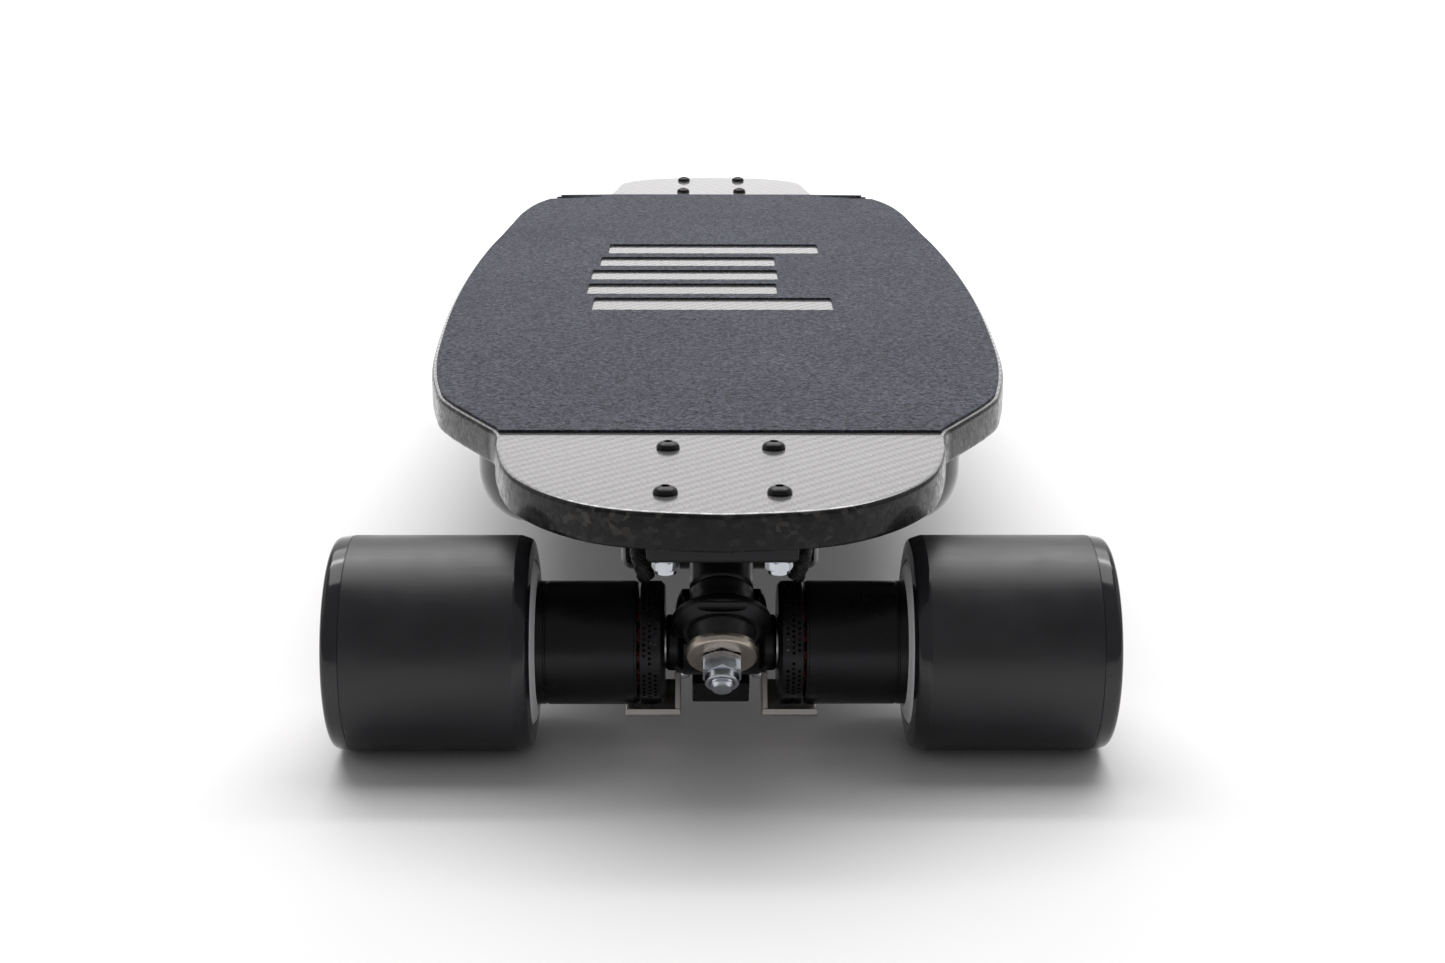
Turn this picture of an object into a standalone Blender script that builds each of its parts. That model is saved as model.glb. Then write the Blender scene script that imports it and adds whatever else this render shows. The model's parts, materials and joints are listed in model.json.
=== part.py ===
"""Electric skateboard with two direct-drive motors, as an assembly of separate pieces.

Metres, +Z up. The origin is on the ground at mid-length. +Y runs to the nose, -Y to the tail, where the
motors are, and +X is the rider's right.
"""
from math import cos, pi, radians, sin

import bmesh
import bpy
from mathutils import Matrix, Vector
from mathutils.geometry import interpolate_bezier

MM = 0.001
GAP = 0.3 * MM  # clearance between pieces that touch

# Deck
DECK_LENGTH = 914 * MM
DECK_THICKNESS = 14.5 * MM
DECK_EDGE_ROUND = 1.6 * MM
WAIST_HALF_WIDTH = 141 * MM  # widest, at mid-length
TAIL_NECK_HALF_WIDTH = 89.5 * MM
NOSE_NECK_HALF_WIDTH = 76 * MM
GRIP_THICKNESS = 0.8 * MM
GRIP_BORDER = 2.0 * MM
TAIL_BARE_LENGTH = 114 * MM  # tail tip to the straight edge of the grip tape
NOSE_BARE_LENGTH = 106 * MM

# Truck fasteners
BOLT_SPACING_X = 41.28 * MM
BOLT_SPACING_Y = 63.5 * MM
BOLT_DIAMETER = 5.0 * MM
BOLT_HEAD_DIAMETER = 9.2 * MM
BOLT_HEAD_HEIGHT = 2.8 * MM
BOLT_SOCKET_DIAMETER = 3.2 * MM
NUT_ACROSS_CORNERS = 10.6 * MM
NUT_HEIGHT = 5.6 * MM
TAIL_BOLTS_FROM_TIP = 26.5 * MM  # tip to the outer row
NOSE_BOLTS_FROM_TIP = 22.0 * MM

# Trucks
TRUCK_HEIGHT = 56 * MM  # axle centre to the underside of the deck
AXLE_OFFSET = 5 * MM  # axle centre inboard of the bolt pattern's centre
STEER_ANGLE = radians(50)  # steering axis above the horizontal
PLATE_WIDTH = 55.6 * MM
PLATE_LENGTH = 80 * MM
PLATE_THICKNESS = 9.5 * MM
BOSS_DIAMETER = 25 * MM
PIVOT_BLOCK_WIDTH = 23 * MM
KINGPIN_DIAMETER = 9.5 * MM
KINGPIN_HEAD_DIAMETER = 16 * MM
KINGPIN_HEAD_HEIGHT = 6 * MM
KINGPIN_NUT_ACROSS_FLATS = 14.3 * MM
KINGPIN_NUT_HEIGHT = 11.5 * MM
KINGPIN_PROUD = 1.2 * MM  # past the nut
KINGPIN_CHAMFER = 0.8 * MM
RING_DIAMETER = 38 * MM
RING_THICKNESS = 14 * MM
RING_ABOVE_AXLE = 23 * MM  # along the steering axis
RING_BORE = 16 * MM
RING_CHAMFER = 1.2 * MM
BRIDGE_STEP = 0.4 * MM  # the bridge is this much thinner than the ring
BUSHING_DIAMETER = 25.5 * MM
BUSHING_HEIGHT = 11 * MM
BUSHING_TAPER = 2.2 * MM
BUSHING_LAND = 1.5 * MM
CUP_DIAMETER = 28 * MM
CUP_HEIGHT = 4.2 * MM
CUP_SLOPE = 4 * MM
CUP_RIM = 0.8 * MM
PIVOT_DIAMETER = 12 * MM
PIVOT_REACH = 24.5 * MM  # axle centre to the pivot's tip
PIVOT_CUP_WALL = 1.8 * MM
PIVOT_CUP_FLOOR = 1.8 * MM
PIVOT_WALL = 3.4 * MM  # metal round the pivot cup
PIVOT_FLOOR = 4.5 * MM  # metal and cup past the pivot's tip
ARM_HEEL = 8 * MM
ARM_BULGE = 1 * MM
BOSS_LENGTH = 18 * MM
WELD_DEPTH = 2 * MM  # how far a limb runs into the plate it grows from
PIVOT_MOUTH = 14.5 * MM  # axle centre to the mouth of the pivot's socket
SEAT_FROM_RING = RING_THICKNESS / 2 + 2 * GAP + BUSHING_HEIGHT
HEAD_FROM_SEAT = 16 * MM
CUP_FLOOR = 2.2 * MM
SPINDLE_SHOULDER = 70 * MM
SPINDLE_END = 84 * MM
SPINDLE_STEP = 8 * MM  # shoulder to the narrow tip
ARM_PAST_BELL = 10 * MM
ARM_CHAMFER = 1 * MM
AXLE_NUT_ACROSS = 13 * MM
AXLE_NUT_HEIGHT = 6.5 * MM
AXLE_NUT_CHAMFER = 1 * MM
AXLE_PROUD = 2 * MM  # past its nut
AXLE_CHAMFER = 0.6 * MM
AXLE_RECESS = 13 * MM
OUTER_BEARING_DEPTH = 13.6 * MM
ROTOR_INSERT = 14 * MM
ARM_DIAMETER = 22 * MM
ARM_START = 13.5 * MM
SPINDLE_DIAMETER = 20 * MM
SPINDLE_TIP_DIAMETER = 14 * MM
AXLE_DIAMETER = 8 * MM

# Wheels
WHEEL_DIAMETER = 83 * MM
WHEEL_WIDTH = 78.5 * MM
WHEEL_INNER_FACE = 70 * MM  # from the board's centre line
TYRE_WALL = 9.5 * MM
CORE_INSET = 1.6 * MM  # from the wheel's inner face
CORE_BACK_INSET = 2 * MM
CORE_HUB_WALL = 3 * MM
CORE_HUB_CLEARANCE = 1.5 * MM
BEARING_DIAMETER = 22 * MM
BEARING_WIDTH = 7 * MM

# Motors
MOTOR_DIAMETER = 47.6 * MM
ROTOR_WALL = 2.5 * MM
ROTOR_FLOOR = 3 * MM
ROTOR_HUB_CLEARANCE = 2 * MM
ROTOR_START = 32 * MM
END_BELL_START = 21.5 * MM
END_BELL_WALL = 2.2 * MM
END_BELL_CHAMFER = 1.5 * MM
AIR_GAP = 0.7 * MM  # between the rotor and the stator in it
STATOR_START = 36 * MM
STATOR_LENGTH = 40 * MM
GUARD_START = 15.5 * MM
GUARD_END = 37 * MM
GUARD_SHEET = 2.4 * MM
GUARD_ARC = radians(74)
GUARD_CLEARANCE = 2.6 * MM
GUARD_INSET = 0.5 * MM  # the web's rim inside the skirt's
GUARD_OVERLAP = 0.1  # radians that the web stays inside the skirt
CABLE_DIAMETER = 8 * MM
CABLE_APART = 60 * MM  # between the two cables where they leave the box
CABLE_DROP = 38 * MM  # axle centre to the cable where it leaves the box

# Battery enclosure
ENCLOSURE_WIDTH = 204 * MM
ENCLOSURE_DEPTH = 34 * MM
ENCLOSURE_ROUND = 24 * MM
ENCLOSURE_WALL = 2.6 * MM
ENCLOSURE_FROM_TAIL = 131 * MM
ENCLOSURE_FROM_NOSE = 127 * MM
BATTERY_SIDE_ROOM = 27 * MM  # from the enclosure's outside
BATTERY_FRONT_ROOM = 70 * MM
BATTERY_UNDER_ROOM = 10 * MM
BATTERY_EDGE_ROUND = 3 * MM
CONTROLLER_LENGTH = 110 * MM
CONTROLLER_SIDE_ROOM = 42 * MM
CONTROLLER_REAR_ROOM = 61 * MM
CONTROLLER_UNDER_ROOM = 14 * MM
CONTROLLER_EDGE_ROUND = 2 * MM
WIRE_BAY_LENGTH = 35 * MM  # between the controller and the battery
CABLE_BOX_SIZE = Vector((81, 16, 44)) * MM
CABLE_BOX_ROUND = 5 * MM
BUTTON_DIAMETER = 12 * MM
BUTTON_LENGTH = 7 * MM
BUTTON_PROUD = 1.6 * MM
BUTTON_CHAMFER = 0.8 * MM
BUTTON_FROM_REAR = 136 * MM  # enclosure's tail end to the button
SOCKET_DIAMETER = 15 * MM
SOCKET_LENGTH = 9 * MM
SOCKET_PROUD = 0.8 * MM
SOCKET_WELL = 6 * MM
SOCKET_FROM_REAR = 96 * MM
CONTROL_DROP = 3 * MM
CABLE_BOX_FROM_TAIL = 122 * MM

# Roundness of the pieces that fit over one another, in sides
MOTOR_SIDES = 28
KINGPIN_SIDES = 20

CUT_PAST = 1 * MM  # how far a cutter runs past the face it opens

# Places that follow from the sizes
TAIL_TIP = -DECK_LENGTH / 2
NOSE_TIP = DECK_LENGTH / 2
ENCLOSURE_REAR = TAIL_TIP + ENCLOSURE_FROM_TAIL
ENCLOSURE_FRONT = NOSE_TIP - ENCLOSURE_FROM_NOSE
AXLE_Z = WHEEL_DIAMETER / 2
DECK_UNDER = AXLE_Z + TRUCK_HEIGHT
DECK_TOP = DECK_UNDER + DECK_THICKNESS
PLATE_TOP = DECK_UNDER - GAP
PLATE_UNDER = PLATE_TOP - PLATE_THICKNESS
TRUCK_Y = {
    "tail": TAIL_TIP + TAIL_BOLTS_FROM_TIP + BOLT_SPACING_Y / 2,
    "nose": NOSE_TIP - NOSE_BOLTS_FROM_TIP - BOLT_SPACING_Y / 2,
}
TURN = {"tail": pi, "nose": 0.0}  # about Z, so that a truck's own +Y points off the board's end
STEER_AXIS = Vector((0, cos(STEER_ANGLE), sin(STEER_ANGLE)))  # inboard and low to outboard and high
KINGPIN_AXIS = Vector((0, sin(STEER_ANGLE), -cos(STEER_ANGLE)))  # outboard and down
AXLE = Vector((0, -AXLE_OFFSET, AXLE_Z))
RING = AXLE + STEER_AXIS * RING_ABOVE_AXLE
WHEEL_OUTER_FACE = WHEEL_INNER_FACE + WHEEL_WIDTH
SIDES = {"left": -1, "right": 1}

parts = bpy.data.collections.new("skateboard")
cutters = bpy.data.collections.new("cutters")


def start_empty():
    for obj in list(bpy.data.objects):
        bpy.data.objects.remove(obj, do_unlink=True)
    for group in (parts, cutters):
        bpy.context.scene.collection.children.link(group)
    cutters.hide_render = True


def make_material(name, color, roughness, metallic=0.0):
    material = bpy.data.materials.new(name)
    material.use_nodes = True
    shader = material.node_tree.nodes["Principled BSDF"]
    shader.inputs["Base Color"].default_value = (*color, 1.0)
    shader.inputs["Roughness"].default_value = roughness
    shader.inputs["Metallic"].default_value = metallic
    return material


def toward(point, direction):
    """A placement at the point whose Z axis runs in the direction."""
    return Matrix.Translation(point) @ direction.to_track_quat("Z", "Y").to_matrix().to_4x4()


def across(side, center):
    """A placement on the axle whose Z axis runs out to one side of the board."""
    return toward(center, Vector((side, 0, 0)))


def add(name, mesh, frame, material=None, parent=None, smooth=radians(35)):
    """Puts a mesh in the scene: as a part when it has a material, and as a cutter when it has none."""
    obj = bpy.data.objects.new(name, mesh)
    if material:
        mesh.materials.append(material)
        parts.objects.link(obj)
        mesh.shade_smooth()
        mesh.set_sharp_from_angle(angle=smooth)
    else:
        cutters.objects.link(obj)
        obj.hide_render = True
        obj.display_type = "WIRE"
    obj.parent = parent
    obj.matrix_local = frame
    return obj


def empty(name, frame, parent=None):
    """An axis or a mounting place that pieces hang on."""
    obj = bpy.data.objects.new(name, None)
    parts.objects.link(obj)
    obj.parent = parent
    obj.matrix_local = frame
    return obj


def turned(name, profile, steps, frame, material=None, parent=None, ring=False):
    """A turned piece. The profile is (radius, height) points from the top down its outer side."""
    mesh = bpy.data.meshes.new(name)
    count = len(profile)
    edges = [(i, i + 1) for i in range(count - 1)]
    if ring:
        edges.append((count - 1, 0))
    mesh.from_pydata([(radius, 0, height) for radius, height in profile], edges, [])
    obj = add(name, mesh, frame, material, parent)
    screw = obj.modifiers.new("turn", "SCREW")
    screw.steps = steps
    screw.render_steps = steps
    screw.use_merge_vertices = True
    screw.merge_threshold = 0.00001
    screw.use_smooth_shade = True
    return obj


def tube_profile(outer, inner, low, high):
    return [(outer, high), (outer, low), (inner, low), (inner, high)]


def rod_profile(radius, low, high):
    return [(0, high), (radius, high), (radius, low), (0, low)]


def outline_mesh(name, points, thickness):
    """A flat outline, filled and given a thickness, from its own z = 0 up."""
    curve = bpy.data.curves.new(name, "CURVE")
    curve.dimensions = "2D"
    curve.fill_mode = "BOTH"
    curve.extrude = thickness / 2
    spline = curve.splines.new("POLY")
    spline.points.add(len(points) - 1)
    for spot, (x, y) in zip(spline.points, points):
        spot.co = (x, y, 0, 1)
    spline.use_cyclic_u = True
    holder = bpy.data.objects.new(name + "_outline", curve)
    cutters.objects.link(holder)
    bpy.context.view_layer.update()
    mesh = bpy.data.meshes.new_from_object(holder.evaluated_get(bpy.context.evaluated_depsgraph_get()))
    mesh.name = name
    shape = bmesh.new()
    shape.from_mesh(mesh)
    bmesh.ops.remove_doubles(shape, verts=shape.verts, dist=0.000005)
    bmesh.ops.translate(shape, verts=shape.verts, vec=(0, 0, thickness / 2))
    bmesh.ops.recalc_face_normals(shape, faces=shape.faces)
    shape.to_mesh(mesh)
    shape.free()
    bpy.data.objects.remove(holder)
    bpy.data.curves.remove(curve)
    return mesh


def slab(name, points, thickness, frame, material=None, parent=None, bevel=0.0, segments=2):
    obj = add(name, outline_mesh(name, points, thickness), frame, material, parent)
    if bevel:
        round_edges(obj, bevel, segments)
    return obj


def side_plate(name, points, center, width, material=None, parent=None, bevel=0.0):
    """A plate that stands along the board: (y, z) points, with its width across X about the center."""
    frame = Matrix(((0, 0, 1, center - width / 2), (1, 0, 0, 0), (0, 1, 0, 0), (0, 0, 0, 1)))
    return slab(name, points, width, frame, material, parent, bevel)


def block(name, size, center, material=None, parent=None, bevel=0.0, segments=2):
    mesh = bpy.data.meshes.new(name)
    shape = bmesh.new()
    bmesh.ops.create_cube(shape, size=1.0)
    bmesh.ops.scale(shape, vec=size, verts=shape.verts)
    shape.to_mesh(mesh)
    shape.free()
    obj = add(name, mesh, Matrix.Translation(center), material, parent)
    if bevel:
        round_edges(obj, bevel, segments)
    return obj


def round_edges(obj, width, segments=2):
    bevel = obj.modifiers.new("round", "BEVEL")
    bevel.width = width
    bevel.segments = segments
    bevel.limit_method = "ANGLE"
    bevel.angle_limit = radians(40)


def combine(obj, tool, operation):
    modifier = obj.modifiers.new(operation.lower() + "_" + tool.name, "BOOLEAN")
    modifier.operation = operation
    modifier.solver = "EXACT"
    modifier.object = tool


def cut(obj, tool):
    combine(obj, tool, "DIFFERENCE")


def weld(obj, tool):
    combine(obj, tool, "UNION")


def arc(center, radius, start, end, count):
    """Points on an arc, from one angle to another."""
    angles = [start + (end - start) * i / (count - 1) for i in range(count)]
    return [(center[0] + radius * cos(angle), center[1] + radius * sin(angle)) for angle in angles]


# The deck's outline

def smooth_run(knots, steps):
    """A curve through (x, y, heading) knots, each left at its heading, in radians from +X."""
    points = []
    for (x0, y0, heading0), (x1, y1, heading1) in zip(knots, knots[1:]):
        reach = ((x1 - x0) ** 2 + (y1 - y0) ** 2) ** 0.5 / 3
        start = Vector((x0, y0))
        end = Vector((x1, y1))
        leave = start + reach * Vector((cos(heading0), sin(heading0)))
        arrive = end - reach * Vector((cos(heading1), sin(heading1)))
        points += [tuple(point) for point in interpolate_bezier(start, leave, arrive, end, steps)[:-1]]
    return points


def deck_half():
    """The right half of the outline from the tail's tip to the nose's tip."""
    neck = TAIL_NECK_HALF_WIDTH
    far_neck = NOSE_NECK_HALF_WIDTH
    waist = WAIST_HALF_WIDTH
    tail_end = [
        (0, TAIL_TIP, radians(5)),
        (50 * MM, TAIL_TIP + 13 * MM, radians(36)),
        (neck - 5 * MM, TAIL_TIP + 69 * MM, radians(80)),
        (neck, TAIL_TIP + 104 * MM, radians(88)),
        (neck + 6 * MM, TAIL_TIP + 124 * MM, radians(56)),
    ]
    flank = [
        (waist - 22.5 * MM, TAIL_TIP + 169 * MM, radians(74)),
        (waist - 7 * MM, TAIL_TIP + 270 * MM, radians(86)),
        (waist, 0, radians(90)),
        (waist - 5 * MM, NOSE_TIP - 290 * MM, radians(94)),
        (waist - 32 * MM, NOSE_TIP - 106 * MM, radians(116)),
    ]
    nose_end = [
        (far_neck + 22 * MM, NOSE_TIP - 121 * MM, radians(205)),
        (far_neck + 2 * MM, NOSE_TIP - 112 * MM, radians(112)),
        (far_neck - 5 * MM, NOSE_TIP - 66 * MM, radians(98)),
        (far_neck - 14 * MM, NOSE_TIP - 24 * MM, radians(128)),
        (far_neck - 38 * MM, NOSE_TIP - 7 * MM, radians(164)),
        (0, NOSE_TIP, radians(176)),
    ]
    tail_run = smooth_run(tail_end, 5) + [tail_end[-1][:2]]
    flank_run = smooth_run(flank, 5) + [flank[-1][:2]]
    nose_run = smooth_run(nose_end, 4) + [nose_end[-1][:2]]
    return tail_run + flank_run + nose_run


def deck_outline():
    half = deck_half()
    return half + [(-x, y) for x, y in reversed(half[1:-1])]


def inset(points, distance):
    """The outline moved inward by a distance."""
    moved = []
    for i, point in enumerate(points):
        here = Vector(point)
        before = (here - Vector(points[i - 1])).normalized()
        after = (Vector(points[(i + 1) % len(points)]) - here).normalized()
        inward = Vector((-before.y - after.y, before.x + after.x)).normalized()
        moved.append(tuple(here + inward * distance / max(0.6, inward.dot(Vector((-before.y, before.x))))))
    return moved


def clipped(points, low, high):
    """The stretches of a run of points between two straight cuts across the board."""
    kept = []
    for here, there in zip(points, points[1:]):
        if low <= here[1] <= high:
            kept.append(here)
        for limit in (low, high):
            if (here[1] - limit) * (there[1] - limit) < 0:
                share = (limit - here[1]) / (there[1] - here[1])
                kept.append((here[0] + share * (there[0] - here[0]), limit))
    return kept


def grip_outline():
    edge = inset(deck_outline(), GRIP_BORDER)[:len(deck_half())]
    half = clipped(edge, TAIL_TIP + TAIL_BARE_LENGTH, NOSE_TIP - NOSE_BARE_LENGTH)
    return half + [(-x, y) for x, y in reversed(half)]


start_empty()

carbon = make_material("carbon", (0.03, 0.03, 0.035), 0.15)
grit = make_material("grip", (0.09, 0.095, 0.11), 0.95)
black_plastic = make_material("black_plastic", (0.02, 0.02, 0.02), 0.35)
black_metal = make_material("black_metal", (0.02, 0.02, 0.022), 0.3, 0.8)
zinc = make_material("zinc", (0.75, 0.77, 0.8), 0.25, 1.0)
nickel = make_material("nickel", (0.62, 0.56, 0.48), 0.3, 1.0)
steel = make_material("steel", (0.6, 0.6, 0.6), 0.25, 1.0)
urethane = make_material("urethane", (0.025, 0.025, 0.028), 0.4)
bushing_rubber = make_material("bushing_rubber", (0.02, 0.02, 0.02), 0.5)
core_plastic = make_material("core_plastic", (0.55, 0.55, 0.56), 0.5)
copper = make_material("copper", (0.6, 0.12, 0.06), 0.4, 0.6)
cell_wrap = make_material("cell_wrap", (0.1, 0.2, 0.45), 0.5)
rubber_sleeve = make_material("rubber_sleeve", (0.02, 0.02, 0.02), 0.6)

board = empty("board_frame", Matrix.Identity(4))


def truck_holes(end, name, low, high):
    """One cutter for each truck bolt, along Z."""
    tools = []
    hole = rod_profile(BOLT_DIAMETER / 2 + GAP, low, high)
    for i, (x, y) in enumerate(bolt_places(end)):
        tools.append(turned(f"{name}_{i}", hole, 12, Matrix.Translation((x, y, 0)), parent=board))
    return tools


def bolt_places(end):
    return [(x * BOLT_SPACING_X / 2, TRUCK_Y[end] + y * BOLT_SPACING_Y / 2) for y in (-1, 1) for x in (-1, 1)]


def make_deck():
    place = Matrix.Translation((0, 0, DECK_UNDER))
    deck = slab("deck", deck_outline(), DECK_THICKNESS, place, carbon, board, DECK_EDGE_ROUND, 1)
    for end in TRUCK_Y:
        for tool in truck_holes(end, f"{end}_deck_hole", DECK_UNDER - CUT_PAST, DECK_TOP + CUT_PAST):
            cut(deck, tool)
    place = Matrix.Translation((0, 0, DECK_TOP + GAP))
    slab("grip_tape", grip_outline(), GRIP_THICKNESS, place, grit, board)


def make_bolts(end):
    head_low = DECK_TOP + GAP
    nut_high = PLATE_UNDER - GAP
    head = BOLT_HEAD_DIAMETER / 2
    socket = BOLT_SOCKET_DIAMETER / 2
    shank = BOLT_DIAMETER / 2
    nut = NUT_ACROSS_CORNERS / 2
    profile = [
        (0, head_low + 0.4 * BOLT_HEAD_HEIGHT),
        (socket, head_low + 0.4 * BOLT_HEAD_HEIGHT),
        (socket, head_low + BOLT_HEAD_HEIGHT),
        (0.75 * head, head_low + 0.8 * BOLT_HEAD_HEIGHT),
        (head, head_low + 0.25 * BOLT_HEAD_HEIGHT),
        (head, head_low),
        (shank, head_low),
        (shank, nut_high),
        (nut, nut_high),
        (nut, nut_high - 0.75 * NUT_HEIGHT),
        (0.7 * nut, nut_high - NUT_HEIGHT),
        (0, nut_high - NUT_HEIGHT),
    ]
    for (x, y), spot in zip(bolt_places(end), ("inner_left", "inner_right", "outer_left", "outer_right")):
        if end == "tail":
            spot = spot.replace("inner", "x").replace("outer", "inner").replace("x", "outer")
        turned(f"{end}_bolt_{spot}", profile, 8, Matrix.Translation((x, y, 0)), zinc, board)


def make_enclosure():
    length = ENCLOSURE_FRONT - ENCLOSURE_REAR
    center = Vector((0, (ENCLOSURE_REAR + ENCLOSURE_FRONT) / 2, PLATE_TOP - ENCLOSURE_DEPTH / 2))
    mesh = bpy.data.meshes.new("enclosure")
    shape = bmesh.new()
    bmesh.ops.create_cube(shape, size=1.0)
    bmesh.ops.scale(shape, vec=(ENCLOSURE_WIDTH, length, ENCLOSURE_DEPTH), verts=shape.verts)
    rounded = [edge for edge in shape.edges if min(v.co.z for v in edge.verts) < 0]
    bmesh.ops.bevel(shape, geom=rounded, offset=ENCLOSURE_ROUND, segments=3, profile=0.5, affect="EDGES")
    lid = [face for face in shape.faces if face.normal.z > 0.9]
    bmesh.ops.delete(shape, geom=lid, context="FACES")
    shape.to_mesh(mesh)
    shape.free()
    tub = add("enclosure", mesh, Matrix.Translation(center), black_plastic, board)
    wall = tub.modifiers.new("wall", "SOLIDIFY")
    wall.thickness = ENCLOSURE_WALL
    wall.offset = -1
    wall.use_even_offset = True
    return tub


def hung_block(name, side_room, under_room, rear, front, material, rounding):
    """A block under the deck that fills the enclosure but for the room left round it."""
    width = ENCLOSURE_WIDTH - 2 * side_room
    height = ENCLOSURE_DEPTH - under_room
    center = Vector((0, (rear + front) / 2, PLATE_TOP - GAP - height / 2))
    block(name, Vector((width, front - rear, height)), center, material, board, rounding)


def make_inside():
    """The controller behind, and the battery in all the length that is left in front of it."""
    rear = ENCLOSURE_REAR + CONTROLLER_REAR_ROOM
    front = rear + CONTROLLER_LENGTH
    hung_block("motor_controller", CONTROLLER_SIDE_ROOM, CONTROLLER_UNDER_ROOM, rear, front, black_metal,
               CONTROLLER_EDGE_ROUND)
    rear = front + WIRE_BAY_LENGTH
    front = ENCLOSURE_FRONT - BATTERY_FRONT_ROOM
    hung_block("battery_pack", BATTERY_SIDE_ROOM, BATTERY_UNDER_ROOM, rear, front, cell_wrap,
               BATTERY_EDGE_ROUND)


def make_controls(tub):
    """The power button and the charging socket in the enclosure's right side, near the tail."""
    wall_x = ENCLOSURE_WIDTH / 2
    z = PLATE_TOP - 0.55 * (ENCLOSURE_DEPTH - ENCLOSURE_ROUND) - CONTROL_DROP
    button_y = ENCLOSURE_REAR + BUTTON_FROM_REAR
    socket_y = ENCLOSURE_REAR + SOCKET_FROM_REAR
    reach = 2 * ENCLOSURE_WALL + CUT_PAST
    for name, y, diameter in (("button", button_y, BUTTON_DIAMETER), ("socket", socket_y, SOCKET_DIAMETER)):
        hole = rod_profile(diameter / 2 + GAP, -reach, reach)
        cut(tub, turned(f"{name}_hole", hole, 16, across(1, Vector((wall_x, y, z))), parent=board))
    outside = wall_x + BUTTON_PROUD
    button = BUTTON_DIAMETER / 2
    profile = [
        (0, 0),
        (button - 2 * BUTTON_CHAMFER, 0),
        (button, -BUTTON_CHAMFER),
        (button, -BUTTON_LENGTH),
        (0, -BUTTON_LENGTH),
    ]
    turned("power_button", profile, 16, across(1, Vector((outside, button_y, z))), zinc, board)
    socket = SOCKET_DIAMETER / 2
    well = 0.6 * socket
    profile = [
        (0, -SOCKET_WELL),
        (well, -SOCKET_WELL),
        (well, SOCKET_PROUD),
        (socket, SOCKET_PROUD),
        (socket, -SOCKET_LENGTH),
        (0, -SOCKET_LENGTH),
    ]
    turned("charge_socket", profile, 16, across(1, Vector((wall_x, socket_y, z))), black_plastic, board)


def make_cable_box():
    center = Vector((0, TAIL_TIP + CABLE_BOX_FROM_TAIL, PLATE_TOP - CABLE_BOX_SIZE.z / 2))
    block("cable_box", CABLE_BOX_SIZE, center, black_plastic, board, CABLE_BOX_ROUND, 3)


def stack(frame_point, start):
    """A placement whose origin is on the kingpin, a distance from the ring's middle toward the nut."""
    return toward(frame_point + KINGPIN_AXIS * start, KINGPIN_AXIS)


def make_baseplate(end, truck):
    """The plate on the deck, with the boss that the kingpin stands in and the arm that holds the pivot."""
    size = Vector((PLATE_WIDTH, PLATE_LENGTH, PLATE_THICKNESS))
    center = Vector((0, 0, PLATE_TOP - PLATE_THICKNESS / 2))
    plate = block(f"{end}_baseplate", size, center, black_metal, truck)
    seat = RING - KINGPIN_AXIS * SEAT_FROM_RING
    boss = BOSS_DIAMETER / 2
    top = PLATE_UNDER + WELD_DEPTH
    mouth = AXLE - STEER_AXIS * PIVOT_MOUTH
    tail = AXLE - STEER_AXIS * (PIVOT_REACH + PIVOT_FLOOR)
    wall = PIVOT_DIAMETER / 2 + PIVOT_CUP_WALL + PIVOT_WALL
    seat_high = seat + STEER_AXIS * (top - seat.z) / STEER_AXIS.z
    seat_low = seat - STEER_AXIS * boss
    behind = seat_low - STEER_AXIS * ARM_HEEL
    web = [
        (-PLATE_LENGTH / 2, top),
        (-PLATE_LENGTH / 2 - ARM_BULGE, seat_low.z - 4 * ARM_BULGE),
        tuple((tail - KINGPIN_AXIS * wall).yz),
        tuple((tail + KINGPIN_AXIS * wall).yz),
        tuple((mouth + KINGPIN_AXIS * wall).yz),
        tuple((mouth - KINGPIN_AXIS * wall).yz),
        tuple(behind.yz),
        tuple(seat_low.yz),
        tuple(seat_high.yz),
    ]
    weld(plate, side_plate(f"{end}_pivot_arm", web, 0, PIVOT_BLOCK_WIDTH, parent=truck))
    seat_place = toward(seat, KINGPIN_AXIS)
    strut = rod_profile(boss, -BOSS_LENGTH, 0)
    weld(plate, turned(f"{end}_kingpin_boss", strut, 24, seat_place, parent=truck))
    bore = rod_profile(KINGPIN_DIAMETER / 2 + GAP, -PLATE_LENGTH, PLATE_THICKNESS)
    cut(plate, turned(f"{end}_kingpin_bore", bore, KINGPIN_SIDES, seat_place, parent=truck))
    pocket = rod_profile(KINGPIN_HEAD_DIAMETER / 2 + GAP, -PLATE_LENGTH, -HEAD_FROM_SEAT + GAP)
    cut(plate, turned(f"{end}_kingpin_pocket", pocket, KINGPIN_SIDES, seat_place, parent=truck))
    depth = PIVOT_REACH - PIVOT_MOUTH + PIVOT_CUP_FLOOR + 2 * GAP
    socket = rod_profile(PIVOT_DIAMETER / 2 + PIVOT_CUP_WALL + 2 * GAP, -CUT_PAST, depth)
    cut(plate, turned(f"{end}_pivot_socket", socket, 16, toward(mouth, -STEER_AXIS), parent=truck))
    for tool in truck_holes(end, f"{end}_plate_hole", PLATE_UNDER - CUT_PAST, PLATE_TOP + CUT_PAST):
        cut(plate, tool)


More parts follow.
